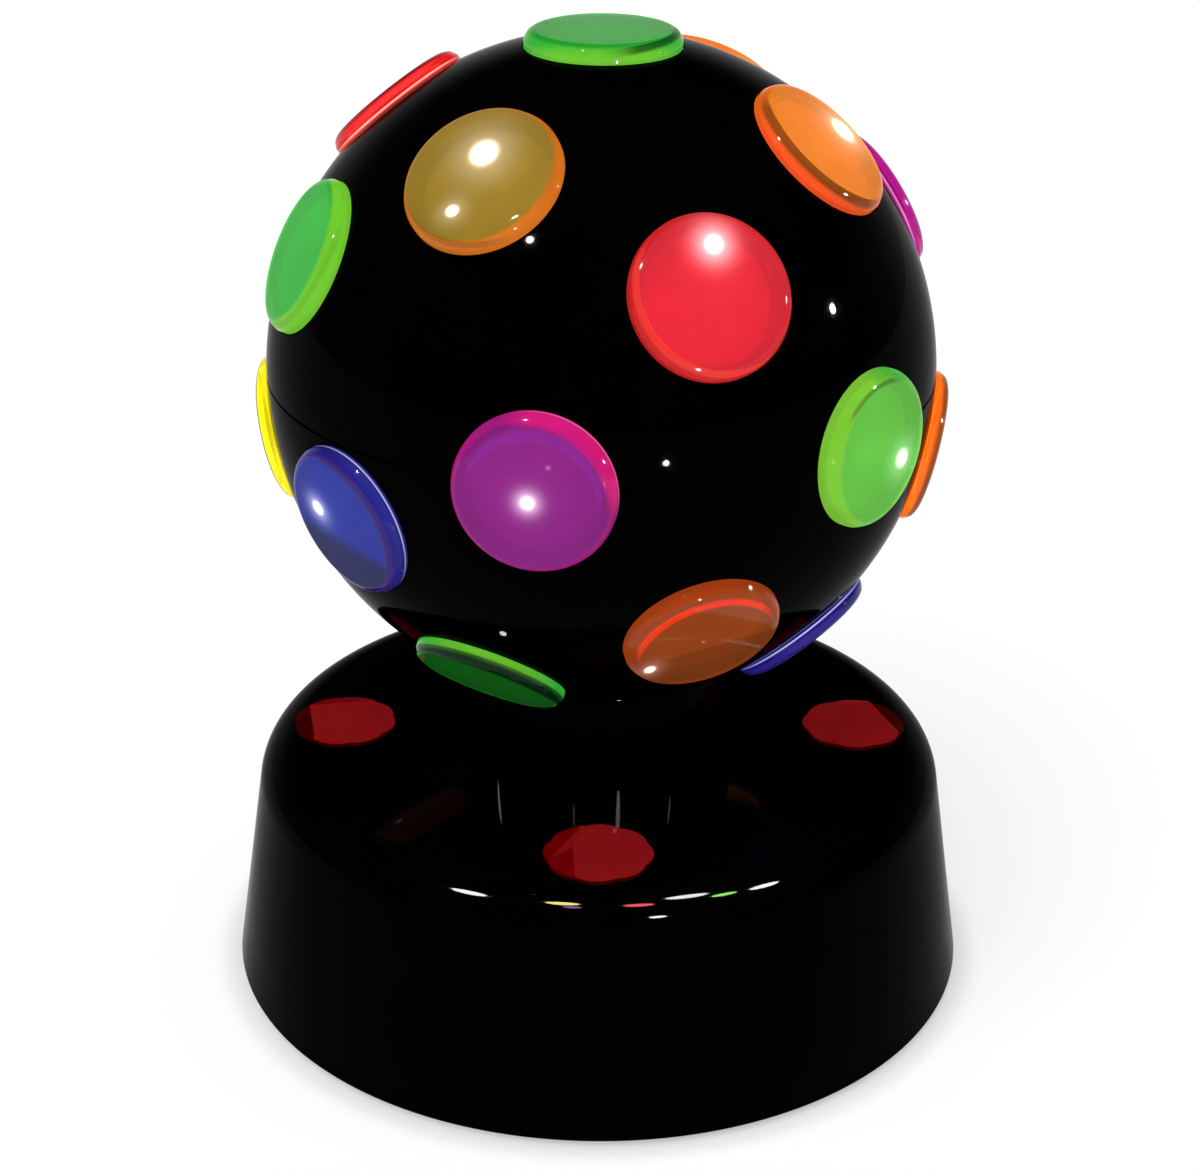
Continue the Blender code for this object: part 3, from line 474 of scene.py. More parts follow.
def buildFloor():
    # a round sheet: rings that widen with the square of their number, open under the base so that light
    # reaches the underside
    share = np.linspace(0.0, 1.0, room["floorRings"])
    radius = room["floorHole"] + (room["floorReach"] - room["floorHole"]) * share ** 2
    rows = ringRows(np.stack([radius, 0.0 * share], -1), room["floorSides"])
    floor = newObject("floor", rows, ringFaces(len(rows), room["floorSides"], False)[:, ::-1].tolist())
    finish, tree, shader = newFinish("floorPaper")
    tree.nodes.remove(shader)
    diffuse = addNode(tree, "ShaderNodeBsdfDiffuse")
    glow = addNode(tree, "ShaderNodeEmission")
    # a painted contact shadow: the paper is a little darker close to the base
    away = addNode(tree, "ShaderNodeVectorMath", operation="LENGTH")
    feed(tree, away.inputs[0], addNode(tree, "ShaderNodeTexCoord").outputs["Object"])
    contactShadow = stepOf(tree, away.outputs["Value"], room["shadeFrom"], room["shadeTo"])
    contactShadow = mathOf(tree, "ADD", timesOf(tree, contactShadow, room["shade"]), 1.0 - room["shade"])
    feed(tree, diffuse.inputs["Color"], scaledColour(tree, (room["floorShare"],) * 3, contactShadow))
    feed(tree, glow.inputs["Color"], scaledColour(tree, (1.0, 1.0, 1.0), contactShadow))
    seen, glossy = shownRays(tree)
    feed(tree, glow.inputs["Strength"], mathOf(tree, "ADD", timesOf(tree, seen, room["floorGlow"]),
                                               timesOf(tree, glossy, room["floorSeen"])))
    both = addNode(tree, "ShaderNodeAddShader")
    feed(tree, both.inputs[0], diffuse.outputs[0])
    feed(tree, both.inputs[1], glow.outputs[0])
    # seen from below, the paper is clear
    sides = addNode(tree, "ShaderNodeMixShader")
    feed(tree, sides.inputs[0], addNode(tree, "ShaderNodeNewGeometry").outputs["Backfacing"])
    feed(tree, sides.inputs[1], both.outputs[0])
    feed(tree, sides.inputs[2], addNode(tree, "ShaderNodeBsdfTransparent").outputs[0])
    feed(tree, tree.nodes["Material Output"].inputs["Surface"], sides.outputs[0])
    floor.data.materials.append(finish)


def buildSky():
    # white where the camera sees it; in gloss it stands behind the lamp and fades out overhead and in front
    world = bpy.data.worlds.new("sky")
    world.use_nodes = True
    bpy.context.scene.world = world
    tree = world.node_tree
    back = tree.nodes["Background"]
    seen, mirrored = shownRays(tree)
    split = addNode(tree, "ShaderNodeSeparateXYZ")
    feed(tree, split.inputs[0], addNode(tree, "ShaderNodeTexCoord").outputs["Generated"])
    behind = rangeOf(tree, split.outputs["Y"], room["skyDim"], room["skySeen"], *room["skyBehind"])
    low = restOf(tree, stepOf(tree, split.outputs["Z"], *room["skyLow"]))
    glossy = timesOf(tree, mirrored, timesOf(tree, behind, low))
    shown = mathOf(tree, "MAXIMUM", timesOf(tree, seen, room["skyShown"]), glossy)
    other = restOf(tree, mathOf(tree, "MAXIMUM", seen, mirrored))
    feed(tree, back.inputs["Strength"], mathOf(tree, "ADD", shown, timesOf(tree, other, room["skyLight"])))
    back.inputs["Color"].default_value = (1.0, 1.0, 1.0, 1.0)


def turnTo(lamp, way):
    # the lamp shines back along the way
    lamp.rotation_mode = "QUATERNION"
    lamp.rotation_quaternion = Vector(way).to_track_quat("Z", "Y")


def buildSun():
    # one wide soft light from the front left, which makes no highlight of its own
    sun = linked("sun", bpy.data.lights.new("sun", "SUN"))
    sun.data.energy = room["sunStrength"]
    sun.data.angle = math.radians(room["sunSpread"])
    sun.visible_glossy = False
    turnTo(sun, room["sunWay"])


def addLamp(name, sideways, upward, size, power, start, seenOn, colour=(1.0, 1.0, 1.0),
            distance=room["lampDistance"]):
    # a round lamp for highlights alone, its direction from the start, in mm, in degrees round from the
    # front and up
    side, rise = math.radians(sideways), math.radians(upward)
    way = Vector((math.sin(side) * math.cos(rise), -math.cos(side) * math.cos(rise), math.sin(rise)))
    lamp = linked(name, bpy.data.lights.new(name, "AREA"))
    lamp.data.shape = "DISK"
    lamp.data.size = size
    lamp.data.energy = power
    lamp.data.color = colour
    lamp.location = Vector(start) * mm + way * distance
    turnTo(lamp, way)
    lamp.visible_diffuse = False
    lamp.visible_camera = False
    lamp.light_linking.receiver_collection = seenOn
    return lamp


# the highlights on the ball: way round from the front and up in degrees, place on the ball in mm, distance
# and size in metres, power
ballLamps = {
    "HighLeft": (-43.0, 57.0, (-11.4, -45.1, 157.2), 1.4, 0.055, 24.0),
    "SideRight": (91.0, 15.0, (37.6, -39.7, 144.0), 1.4, 0.06, 28.0),
    "FrontLow": (21.0, -12.0, (10.2, -58.9, 124.8), 0.5, 0.016, 2.0),
    "Low": (-96.0, -71.0, (-16.1, -49.8, 89.9), 0.025, 0.0018, 0.0012),
}
# the streaks on the base's shoulder: way round from the front and up in degrees, place on the shoulder
# in mm, size in metres, power and colour
shoulderLamps = {
    "White": (-70.0, 62.0, (-22.5, -57.4, 44.0), 0.2, 130.0, (1.0, 1.0, 1.0)),
    "Yellow": (-28.0, 75.0, (-6.0, -61.2, 44.1), 0.17, 90.0, (1.0, 0.95, 0.3)),
    "Purple": (-15.0, 68.0, (-4.5, -61.8, 43.8), 0.1, 14.0, (0.75, 0.3, 0.9)),
    "Red": (27.0, 71.5, (7.0, -61.3, 44.0), 0.16, 80.0, (1.0, 0.12, 0.14)),
    "RedCore": (27.0, 71.5, (7.0, -61.3, 44.0), 0.07, 14.0, (1.0, 1.0, 1.0)),
    "LowWhite": (21.5, 41.0, (10.2, -62.4, 42.4), 0.12, 50.0, (1.0, 1.0, 1.0)),
    "RightWhite": (77.0, 74.0, (15.8, -59.0, 44.5), 0.2, 110.0, (1.0, 1.0, 1.0)),
    "Green": (70.0, 63.0, (21.9, -57.6, 44.0), 0.14, 60.0, (0.35, 1.0, 0.15)),
    "FarWhite": (81.0, 55.5, (28.9, -54.6, 44.0), 0.18, 100.0, (1.0, 1.0, 1.0)),
}
# the streaks on the neck: way round from the front in degrees, size in metres and power
neckLamps = {"Left": (-101.0, 0.035, 90.0), "FrontLeft": (-22.0, 0.03, 50.0), "Front": (17.0, 0.07, 700.0),
             "Right": (66.0, 0.03, 60.0)}
neckStreaks = {"upward": 29.0, "place": (0.0, 0.0, 55.0), "longer": 5.0}     # degrees, mm, times the size


def buildHighlights():
    # each group of pieces has lamps of its own, because the highlights don't repeat from piece to piece
    groups = {name: bpy.data.collections.new(name) for name in ("litBall", "litLower", "litShell", "litNeck")}
    for made in bpy.data.objects:
        if made.name in ("lowerShell", "upperShell") or made.name.startswith("lens"):
            groups["litBall"].objects.link(made)
    for name, group in (("lowerShell", "litLower"), ("baseShell", "litShell"), ("neck", "litNeck")):
        groups[group].objects.link(bpy.data.objects[name])
    for name, (sideways, upward, start, distance, size, power) in ballLamps.items():
        addLamp(f"ballLamp{name}", sideways, upward, size, power, start,
                groups["litLower" if name == "Low" else "litBall"], distance=distance)
    for name, (sideways, upward, start, size, power, colour) in shoulderLamps.items():
        addLamp(f"shoulderLamp{name}", sideways, upward, size, power, start, groups["litShell"], colour)
    for name, (sideways, size, power) in neckLamps.items():
        lamp = addLamp(f"neckLamp{name}", sideways, neckStreaks["upward"], size, power, neckStreaks["place"],
                       groups["litNeck"])
        lamp.data.shape = "ELLIPSE"
        lamp.data.size_y = size * neckStreaks["longer"]


buildFloor()
buildSky()
buildSun()


print("lens places")
lensSizes = {"radius": 13.7, "bottom": 58.194, "lipTop": 59.494, "shoulderTop": 60.694,
             "shoulderRadius": 13.1, "faceTop": 61.394, "faceRadius": 12.0, "crown": 0.1,
             "spigotRadius": 11.0, "spigotEnd": 55.994, "bends": (0.0, 0.25, 0.0, 0.12, 0.3, 1.5, 1.6, 0.0),
             "bendSteps": 8, "underSteps": 12, "faceSteps": 26, "sides": 96, "softDegrees": 40.0,
             "seatRadius": 14.0, "seatFloor": 57.894, "seatEnd": 55.0, "seatGap": 0.3, "seatEdge": 0.14,
             "seatFlare": 3.0, "turn": 19.66, "rowTilt": 30.0, "capAngle": 26.4}
lensRows = {"middle": (0, 60, 120, 240, 300), "left": (30, 90, 150, 210, 270, 330),
            "right": (30, 90, 150, 210, 270, 330), "left_cap": (0, 120, 240), "right_cap": (0, 120, 240)}


def lensWay(row, degrees):
    # a row lies on a circle over the top; each row leans sideways from the middle one
    turn = math.radians(lensSizes["turn"])
    front = Vector((math.sin(turn), -math.cos(turn), 0.0))
    right = Vector((math.cos(turn), math.sin(turn), 0.0))
    leans = {"middle": 0.0, "left": -lensSizes["rowTilt"], "right": lensSizes["rowTilt"],
             "left_cap": lensSizes["capAngle"] - 90.0, "right_cap": 90.0 - lensSizes["capAngle"]}
    lean, along = math.radians(leans[row]), math.radians(degrees)
    upright = math.cos(along) * Vector((0.0, 0.0, 1.0)) + math.sin(along) * front
    return math.cos(lean) * upright + math.sin(lean) * right


lensTurns = {f"lens_{row}_{degrees:03d}": lensWay(row, degrees).to_track_quat("Z", "Y").to_matrix()
             for row, places in lensRows.items() for degrees in places}


print("ball")
ballSizes = {"radius": 60.0, "wall": 2.4, "seamMiddle": 1.2, "seamGap": 0.3, "seamEdge": 0.12, "tongue": 1.6,
             "neckRadius": 24.2, "floorBore": 16.0, "sides": 160, "lowSteps": 64, "highSteps": 72,
             "boreSteps": 20}


def lensSeats():
    # one cutter for all seats: the seat's bore with a small bevel at the ball's surface
    size = lensSizes
    seat, floor, flare = size["seatRadius"], size["seatFloor"], size["seatFlare"]
    mouth = math.sqrt(ballSizes["radius"] ** 2 - seat ** 2)
    bore = size["spigotRadius"] + size["seatGap"]
    profile = np.array([(0.0, size["seatEnd"]), (bore, size["seatEnd"]), (bore, floor), (seat, floor),
                        (seat, mouth - size["seatEdge"]), (seat + size["seatEdge"] + flare, mouth + flare),
                        (0.0, mouth + flare)]) * mm
    cutter = turnedObject("seats", profile, size["sides"])
    single = truePositions(cutter.data)
    faces = [list(face.vertices) for face in cutter.data.polygons]
    spots, allFaces = [], []
    for number, turn in enumerate(lensTurns.values()):
        spots.append(single @ np.array(turn).T + ballMiddle)
        allFaces += [[index + number * len(single) for index in face] for face in faces]
    bpy.data.objects.remove(cutter, do_unlink=True)
    return newObject("seats", np.concatenate(spots), allFaces)


def spherePoints(radius, fromHeight, toHeight, steps):
    # the sphere's outline from one height to the other
    low, high = (math.degrees(math.asin(np.clip(height / radius, -1.0, 1.0)))
                 for height in (fromHeight, toHeight))
    return arcPoints((0.0, 0.0), radius, low, high, steps)


def buildBall(black):
    # two hollow halves of a sphere: the lower one's inner edge stands up as a tongue behind the seam
    size = ballSizes
    radius, bore, gap = size["radius"], size["radius"] - size["wall"], size["seamGap"] / 2
    seamLow, seamHigh = size["seamMiddle"] - gap, size["seamMiddle"] + gap
    tongueTop, edge = seamLow + size["tongue"], size["seamEdge"]
    grooveTop = tongueTop + 2 * gap
    middle = radius - size["wall"] / 2
    floorLow = -math.sqrt(radius ** 2 - size["neckRadius"] ** 2)
    floorHigh = floorLow + size["wall"]
    lower = np.concatenate([
        spherePoints(radius, floorLow, seamLow - edge, size["lowSteps"]), [(radius - edge, seamLow)],
        [(middle - gap, seamLow), (middle - gap, tongueTop)],
        spherePoints(bore, tongueTop, floorHigh, size["boreSteps"]),
        [(size["floorBore"], floorHigh), (size["floorBore"], floorLow)]])
    upper = np.concatenate([
        [(0.0, bore)], spherePoints(bore, bore, grooveTop, size["boreSteps"])[1:],
        [(middle + gap, grooveTop), (middle + gap, seamHigh), (radius - edge, seamHigh)],
        spherePoints(radius, seamHigh + edge, radius, size["highSteps"])[:-1], [(0.0, radius)]])
    for name, node, profile in (("lowerShell", "ball_lower", lower), ("upperShell", "ball_upper", upper)):
        half = turnedObject(name, profile * mm, size["sides"])
        movePoints(half, Matrix.Translation(Vector(ballMiddle)))
        smooth(carve(half, [lensSeats()]))
        trueNormals(half, lambda spots: np.linalg.norm(spots - ballMiddle, axis=1) - radius * mm,
                    lambda spots: (spots - ballMiddle) / np.linalg.norm(spots - ballMiddle, axis=1)[:, None])
        dressed(half, "ball", node, "gloss_black", black)


blackGloss = glossBlack("polishedBlack")
buildBall(blackGloss)


print("lenses")
# colours as seen on the screen: the face, the rim's side, the painted bright crescent of light, the painted
# shaded crescent and the rim's fine painted highlight line; a tone that has no slot of its own says which
# colour's slot it counts as
lensTones = {
    "green": {"face": (52, 186, 60), "rim": (58, 190, 62), "litCrescent": (134, 212, 52), "dusk": (4, 30, 10),
              "line": (190, 240, 130)},
    "lime": {"face": (98, 188, 62), "rim": (58, 190, 62), "litCrescent": (140, 208, 60), "dusk": (4, 30, 10),
             "line": (190, 240, 130), "slot": "green"},
    "red": {"face": (240, 52, 68), "rim": (242, 44, 44), "litCrescent": (255, 66, 60), "dusk": (96, 6, 12),
            "line": (255, 226, 200)},
    "rust": {"face": (246, 127, 60), "rim": (226, 92, 34), "litCrescent": (252, 62, 36), "dusk": (104, 60, 28),
             "line": (255, 200, 130), "slot": "orange"},
    "orange": {"face": (246, 142, 44), "rim": (244, 112, 30), "litCrescent": (248, 76, 38), "dusk": (112, 54, 14),
               "line": (255, 200, 130)},
    "amber": {"face": (158, 130, 46), "rim": (226, 122, 34), "litCrescent": (236, 124, 34), "dusk": (92, 58, 16),
              "line": (252, 216, 70)},
    "purple": {"face": (150, 34, 142), "rim": (180, 32, 134), "litCrescent": (240, 34, 134), "dusk": (112, 40, 166),
               "line": (246, 176, 220)},
    "blue": {"face": (30, 52, 174), "rim": (52, 40, 144), "litCrescent": (70, 84, 206), "dusk": (50, 30, 98),
             "line": (214, 210, 240)},
    "yellow": {"face": (248, 234, 24), "rim": (242, 224, 34), "litCrescent": (246, 170, 30), "dusk": (96, 48, 12),
               "line": (255, 220, 140)},
}
# the painted lit and shaded crescents of the lenses at the back: (way, inner radius, width, share, reach), as
# below
backLitCrescent, backShadedCrescent = (60, 12.1, 9.0, 0.8, 100), (240, 12.1, 0.9, 0.7, 90)
# each lens: its tone; the painted light levels of its face, rim and lip, brighter or darker by how light
# falls;
# the face's darker part, a painted shade, as (way in degrees of the lens's own plane, share, softness); its
# two crescents, a painted bright one of light and a painted shaded one, as (way, inner radius, width, share,
# reach in degrees, where 180 is all round); the fine painted highlight line on its rim, as (way, reach,
# share); the spots, painted hot spots of glow over the lamps inside, as (x, y, radius, strength); lengths in
# mm
lensLooks = {
    "lens_middle_000": {"tone": "green", "lightLevels": (0.7, 0.95, 0.95), "litCrescent": (90, 12.9, 9.0, 0.85, 180),
                        "dusk": (168, 12.0, 1.3, 0.85, 80)},
    "lens_middle_060": {"tone": "red", "lightLevels": (0.9, 0.75, 0.6), "litCrescent": (222, 11.8, 1.3, 0.95, 100),
                        "spots": [(1.25, 8.0, 1.25, 1.0), (1.25, 8.0, 4.2, 0.035)]},
    "lens_middle_120": {"tone": "rust", "lightLevels": (0.29, 0.5, 0.5), "fall": (284, 0.3, 0.08),
                        "litCrescent": (108, 10.2, 2.0, 1.0, 92), "dusk": (110, 12.3, 1.0, 0.35, 100),
                        "spots": [(-8.9, -5.8, 0.9, 0.5), (-0.6, 0.4, 0.35, 0.02)]},
    "lens_middle_240": {"tone": "purple", "lightLevels": (0.9, 0.9, 0.9), "litCrescent": (60, 11.9, 9.0, 0.8, 70),
                        "dusk": (240, 11.9, 0.9, 0.7, 90)},
    "lens_middle_300": {"tone": "blue", "lightLevels": (0.8, 0.9, 0.9), "litCrescent": (60, 11.9, 9.0, 0.7, 70),
                        "dusk": (240, 11.9, 0.9, 0.7, 90)},
    "lens_left_030": {"tone": "amber", "lightLevels": (1.0, 0.9, 0.85), "fall": (270, 0.15, 0.9),
                      "litCrescent": (350, 12.6, 9.0, 0.9, 75), "dusk": (245, 12.5, 0.8, 0.5, 80),
                      "line": (189, 34, 0.9), "spots": [(-0.6, 3.7, 2.0, 1.0), (-1.4, -7.7, 0.95, 0.8)]},
    "lens_left_090": {"tone": "purple", "lightLevels": (0.92, 0.95, 0.95), "litCrescent": (50, 11.7, 9.0, 0.95, 62),
                      "dusk": (80, 9.4, 1.9, 0.25, 110), "line": (30, 75, 0.85),
                      "spots": [(-0.7, -1.0, 0.95, 0.8), (-0.7, -1.0, 2.6, 0.035), (2.7, 5.3, 0.5, 0.015)]},
    "lens_left_150": {"tone": "green", "lightLevels": (0.19, 0.9, 1.0), "fall": (60, -0.06, 1.0),
                      "litCrescent": (66, 13.2, 9.0, 0.9, 75), "dusk": (55, 11.5, 9.0, 1.0, 180)},
    "lens_left_210": {"tone": "red", "lightLevels": (0.8, 0.8, 0.8), "litCrescent": backLitCrescent, "dusk": backShadedCrescent,
                      "spots": [(1.0, 3.0, 1.1, 0.8)]},
    "lens_left_270": {"tone": "orange", "lightLevels": (0.9, 0.9, 0.9), "litCrescent": backLitCrescent, "dusk": backShadedCrescent,
                      "spots": [(-1.0, -2.0, 1.1, 0.8)]},
    "lens_left_330": {"tone": "red", "lightLevels": (0.35, 0.95, 0.4), "litCrescent": (27, 13.2, 0.5, 0.4, 180),
                      "dusk": (27, 11.2, 1.9, 0.85, 180), "line": (27, 85, 1.0)},
    "lens_right_030": {"tone": "orange", "lightLevels": (0.93, 0.9, 0.85), "litCrescent": (190, 12.9, 9.0, 0.9, 180),
                       "dusk": (188, 11.7, 1.7, 0.95, 95),
                       "spots": [(8.0, -0.3, 1.9, 1.0), (8.0, -0.3, 3.4, 0.03)]},
    "lens_right_090": {"tone": "lime", "lightLevels": (1.08, 1.0, 1.0), "litCrescent": (172, 11.0, 9.0, 0.95, 100),
                       "dusk": (104, 11.5, 0.9, 0.6, 40), "spots": [(6.2, -3.1, 1.3, 1.0)]},
    "lens_right_150": {"tone": "blue", "lightLevels": (0.62, 0.5, 0.3), "dusk": (148, 11.2, 1.9, 0.3, 180),
                       "line": (148, 85, 1.0)},
    "lens_right_210": {"tone": "amber", "lightLevels": (1.0, 1.0, 1.0), "litCrescent": (60, 12.4, 9.0, 0.8, 100),
                       "dusk": backShadedCrescent, "spots": [(0.5, 3.5, 1.1, 0.8)]},
    "lens_right_270": {"tone": "red", "lightLevels": (0.9, 0.9, 0.9), "litCrescent": backLitCrescent, "dusk": backShadedCrescent,
                       "spots": [(1.0, 3.0, 1.1, 0.8)]},
    "lens_right_330": {"tone": "orange", "lightLevels": (0.9, 0.9, 0.9), "litCrescent": backLitCrescent, "dusk": backShadedCrescent},
    "lens_left_cap_000": {"tone": "green", "lightLevels": (0.98, 1.0, 1.0), "litCrescent": (352, 11.2, 9.0, 0.9, 180),
                          "dusk": (325, 12.3, 0.9, 0.3, 90)},
    "lens_left_cap_120": {"tone": "blue", "lightLevels": (0.8, 0.7, 0.5), "fall": (264, 0.78, 0.35),
                          "litCrescent": (35, 13.1, 9.0, 0.3, 100), "dusk": (24, 11.1, 1.7, 0.95, 110),
                          "line": (40, 85, 1.0), "spots": [(-5.6, 1.6, 1.1, 1.0), (-5.6, 1.6, 3.0, 0.02)]},
    "lens_left_cap_240": {"tone": "yellow", "lightLevels": (0.76, 0.8, 0.5), "dusk": (21, 11.6, 1.2, 0.95, 180)},
    "lens_right_cap_000": {"tone": "purple", "lightLevels": (0.85, 0.7, 0.5), "dusk": (146, 11.3, 1.6, 0.7, 180),
                           "line": (146, 85, 0.7)},
    "lens_right_cap_120": {"tone": "orange", "lightLevels": (0.9, 0.45, 0.95), "litCrescent": (156, 13.4, 9.0, 0.3, 180),
                           "dusk": (156, 11.4, 2.1, 0.85, 180)},
    "lens_right_cap_240": {"tone": "green", "lightLevels": (1.0, 1.0, 1.0), "litCrescent": (60, 11.9, 9.0, 0.8, 100),
                           "dusk": backShadedCrescent, "spots": [(1.5, -2.5, 1.1, 0.8)]},
}
lensLight = {"bodyGlow": 0.62, "clear": 0.9, "index": 1.3, "rimStart": 12.65, "rimBlend": (-0.15, 0.35),
             "lipBlend": 0.1, "fallStart": 0.1, "lineHeight": 58.8, "lineWidth": 0.2, "lineBlend": (0.4, 1.0),
             "lineFalloff": 1.6, "crescentShift": 1.6, "crescentLeast": 0.02, "crescentFalloff": 3.0,
             "spots": 3, "core": 40.0, "coreFade": -2.4, "halo": 0.5, "haloFade": -0.16, "spotTint": 0.6,
             "mottleScale": 90.0, "mottle": (0.94, 1.06), "roughness": 0.04, "polished": 0.6, "worn": 1.6,
             "wearScale": 420.0, "wearDetail": 4.0, "waveScale": 160.0, "waveDetail": 2.0,
             "waveStrength": 0.05, "waveDepth": 0.05}
lensBackLight = {"glow": 0.16, "pale": 0.8, "deep": 0.25, "spigotEdge": (0.76, 0.84), "mottleScale": 70.0,
                 "mottle": (0.8, 1.2), "body": 0.1, "roughness": 0.6, "reach": 0.02}


def lensProfile():
    # spigot, flange, upright lip, a shoulder that rounds over into a barely domed face, whose height falls
    # with the square of the distance from the middle
    size = lensSizes
    low, spigot, radius = size["spigotEnd"], size["spigotRadius"], size["radius"]
    corners = [(0.0, low), (spigot, low), (spigot, size["bottom"]), (radius, size["bottom"]),
               (radius, size["lipTop"]), (size["shoulderRadius"], size["shoulderTop"]),
               (size["faceRadius"], size["faceTop"] - size["crown"]), (0.0, size["faceTop"])]
    outline = rounded(corners, size["bends"], size["bendSteps"])[:-1]
    under = np.linspace(0.0, outline[1][0], size["underSteps"])[:-1]
    share = np.linspace(0.0, 1.0, size["faceSteps"])[1:]
    lastRadius, lastHeight = outline[-1]
    faceHeight = lastHeight + (size["faceTop"] - lastHeight) * (1.0 - (1.0 - share) ** 2)
    return np.concatenate([np.stack([under, np.full(len(under), low)], -1), outline[1:],
                           np.stack([lastRadius * (1.0 - share), faceHeight], -1)])


def lensBody(colour):
    # clear tinted plastic with a painted glow standing in for the light from behind: painted bands of light
    # and shade round the rim, and painted hot spots over the lamps inside
    light, tones = lensLight, lensTones[colour]
    finish, tree, shader = newFinish(f"{colour}Lens")
    face, rim, litCrescent, dusk, line = (srgb(*tones[key]) for key in ("face", "rim", "litCrescent", "dusk", "line"))
    # painted shade over the face's darker part
    shaded = timesOf(tree, stepOf(tree, valueOf(tree, "fall"), 0.0, 1.0), valueOf(tree, "fallShare"))
    paint = scaledColour(tree, face, timesOf(tree, valueOf(tree, "level"), restOf(tree, shaded)))
    # the rim's side, painted lighter or darker by its light level
    paint = mixOf(tree, stepOf(tree, valueOf(tree, "rim"), *light["rimBlend"]), paint,
                  scaledColour(tree, rim, valueOf(tree, "rimLevel")))
    # the painted bright crescent of light
    paint = mixOf(tree, bandOf(tree, valueOf(tree, "litCrescent"), valueOf(tree, "litCrescentShare")), paint, litCrescent)
    # the painted shaded crescent
    paintedShade = bandOf(tree, valueOf(tree, "dusk"), valueOf(tree, "duskShare"))
    paint = mixOf(tree, paintedShade, paint, dusk)
    # the painted highlight line along the rim
    fine = restOf(tree, stepOf(tree, mathOf(tree, "ABSOLUTE", valueOf(tree, "edge")), *light["lineBlend"]))
    paint = mixOf(tree, timesOf(tree, fine, valueOf(tree, "highlightLineShare")), paint, line)
    toned = scaledColour(tree, paint, rangeOf(tree, noiseOf(tree, light["mottleScale"]), *light["mottle"]))
    # painted glow of the body, standing in for the light of the lamps inside
    lit = scaledColour(tree, toned, light["bodyGlow"])
    hot = tuple(light["spotTint"] * part + 1.0 - light["spotTint"] for part in face)
    # painted hot spots of glow over the lamps inside
    for number in range(light["spots"]):
        gap = valueOf(tree, f"gap{number}")
        square = timesOf(tree, gap, gap)
        core = timesOf(tree, bellOf(tree, square, light["coreFade"]), light["core"])
        halo = timesOf(tree, bellOf(tree, square, light["haloFade"]), light["halo"])
        heat = timesOf(tree, mathOf(tree, "ADD", core, halo), valueOf(tree, f"heat{number}"))
        lit = summedColour(tree, lit, scaledColour(tree, hot, heat))
    feed(tree, shader.inputs["Base Color"], toned)
    feed(tree, shader.inputs["Emission Color"], lit)
    shader.inputs["Emission Strength"].default_value = 1.0
    # the painted shaded crescents and the face's painted shade end the view on the seat, so they aren't clear
    solid = timesOf(tree, mathOf(tree, "MAXIMUM", paintedShade, shaded), light["clear"])
    feed(tree, shader.inputs["Transmission Weight"], mathOf(tree, "SUBTRACT", light["clear"], solid))
    shader.inputs["IOR"].default_value = light["index"]
    wear = noiseOf(tree, light["wearScale"], light["wearDetail"])
    feed(tree, shader.inputs["Roughness"], rangeOf(tree, wear, light["roughness"] * light["polished"],
                                                   light["roughness"] * light["worn"]))
    bumpOf(tree, shader, noiseOf(tree, light["waveScale"], light["waveDetail"]),
           light["waveStrength"], light["waveDepth"])
    return finish


def lensBack(colour):
    # the frosted back of the lens, with a painted glow: brighter over the spigot and painted darker under the
    # flange
    light = lensBackLight
    finish, tree, shader = newFinish(f"{colour}LensBack")
    root = tuple(part ** light["pale"] for part in srgb(*lensTones[colour]["face"]))
    deep = tuple(part * light["deep"] for part in root)
    # painted glow, with painted shade under the flange
    glow = mixOf(tree, stepOf(tree, valueOf(tree, "spread"), *light["spigotEdge"]), root, deep)
    glow = scaledColour(tree, glow, rangeOf(tree, noiseOf(tree, light["mottleScale"]), *light["mottle"]))
    feed(tree, shader.inputs["Base Color"], scaledColour(tree, glow, light["body"]))
    feed(tree, shader.inputs["Emission Color"], glow)
    shader.inputs["Emission Strength"].default_value = light["glow"]
    shader.inputs["Roughness"].default_value = light["roughness"]
    return finish


def crescentPlace(local, way, inner, width):
    # how far a point lies past the edge of a circle pushed away from the crescent's middle, in widths
    # that shrink to nothing at the crescent's ends
    side = math.radians(way)
    shift = lensLight["crescentShift"]
    gap = np.hypot(local[:, 0] + shift * math.cos(side), local[:, 1] + shift * math.sin(side)) - inner - shift
    turn = np.arctan2(local[:, 1], local[:, 0]) - side
    return gap / (width * np.sqrt(np.clip(np.cos(turn), lensLight["crescentLeast"], 1.0)))


def reachShare(local, way, reach, falloff):
    # 1 within most of the reach on both sides of the way, falling to 0 at its end
    turn = np.arctan2(local[:, 1], local[:, 0]) - math.radians(way)
    apart = np.abs((turn + math.pi) % tau - math.pi) / math.radians(reach)
    return np.ones(len(local)) if reach >= 180 else np.clip(falloff * (1.0 - apart), 0.0, 1.0)


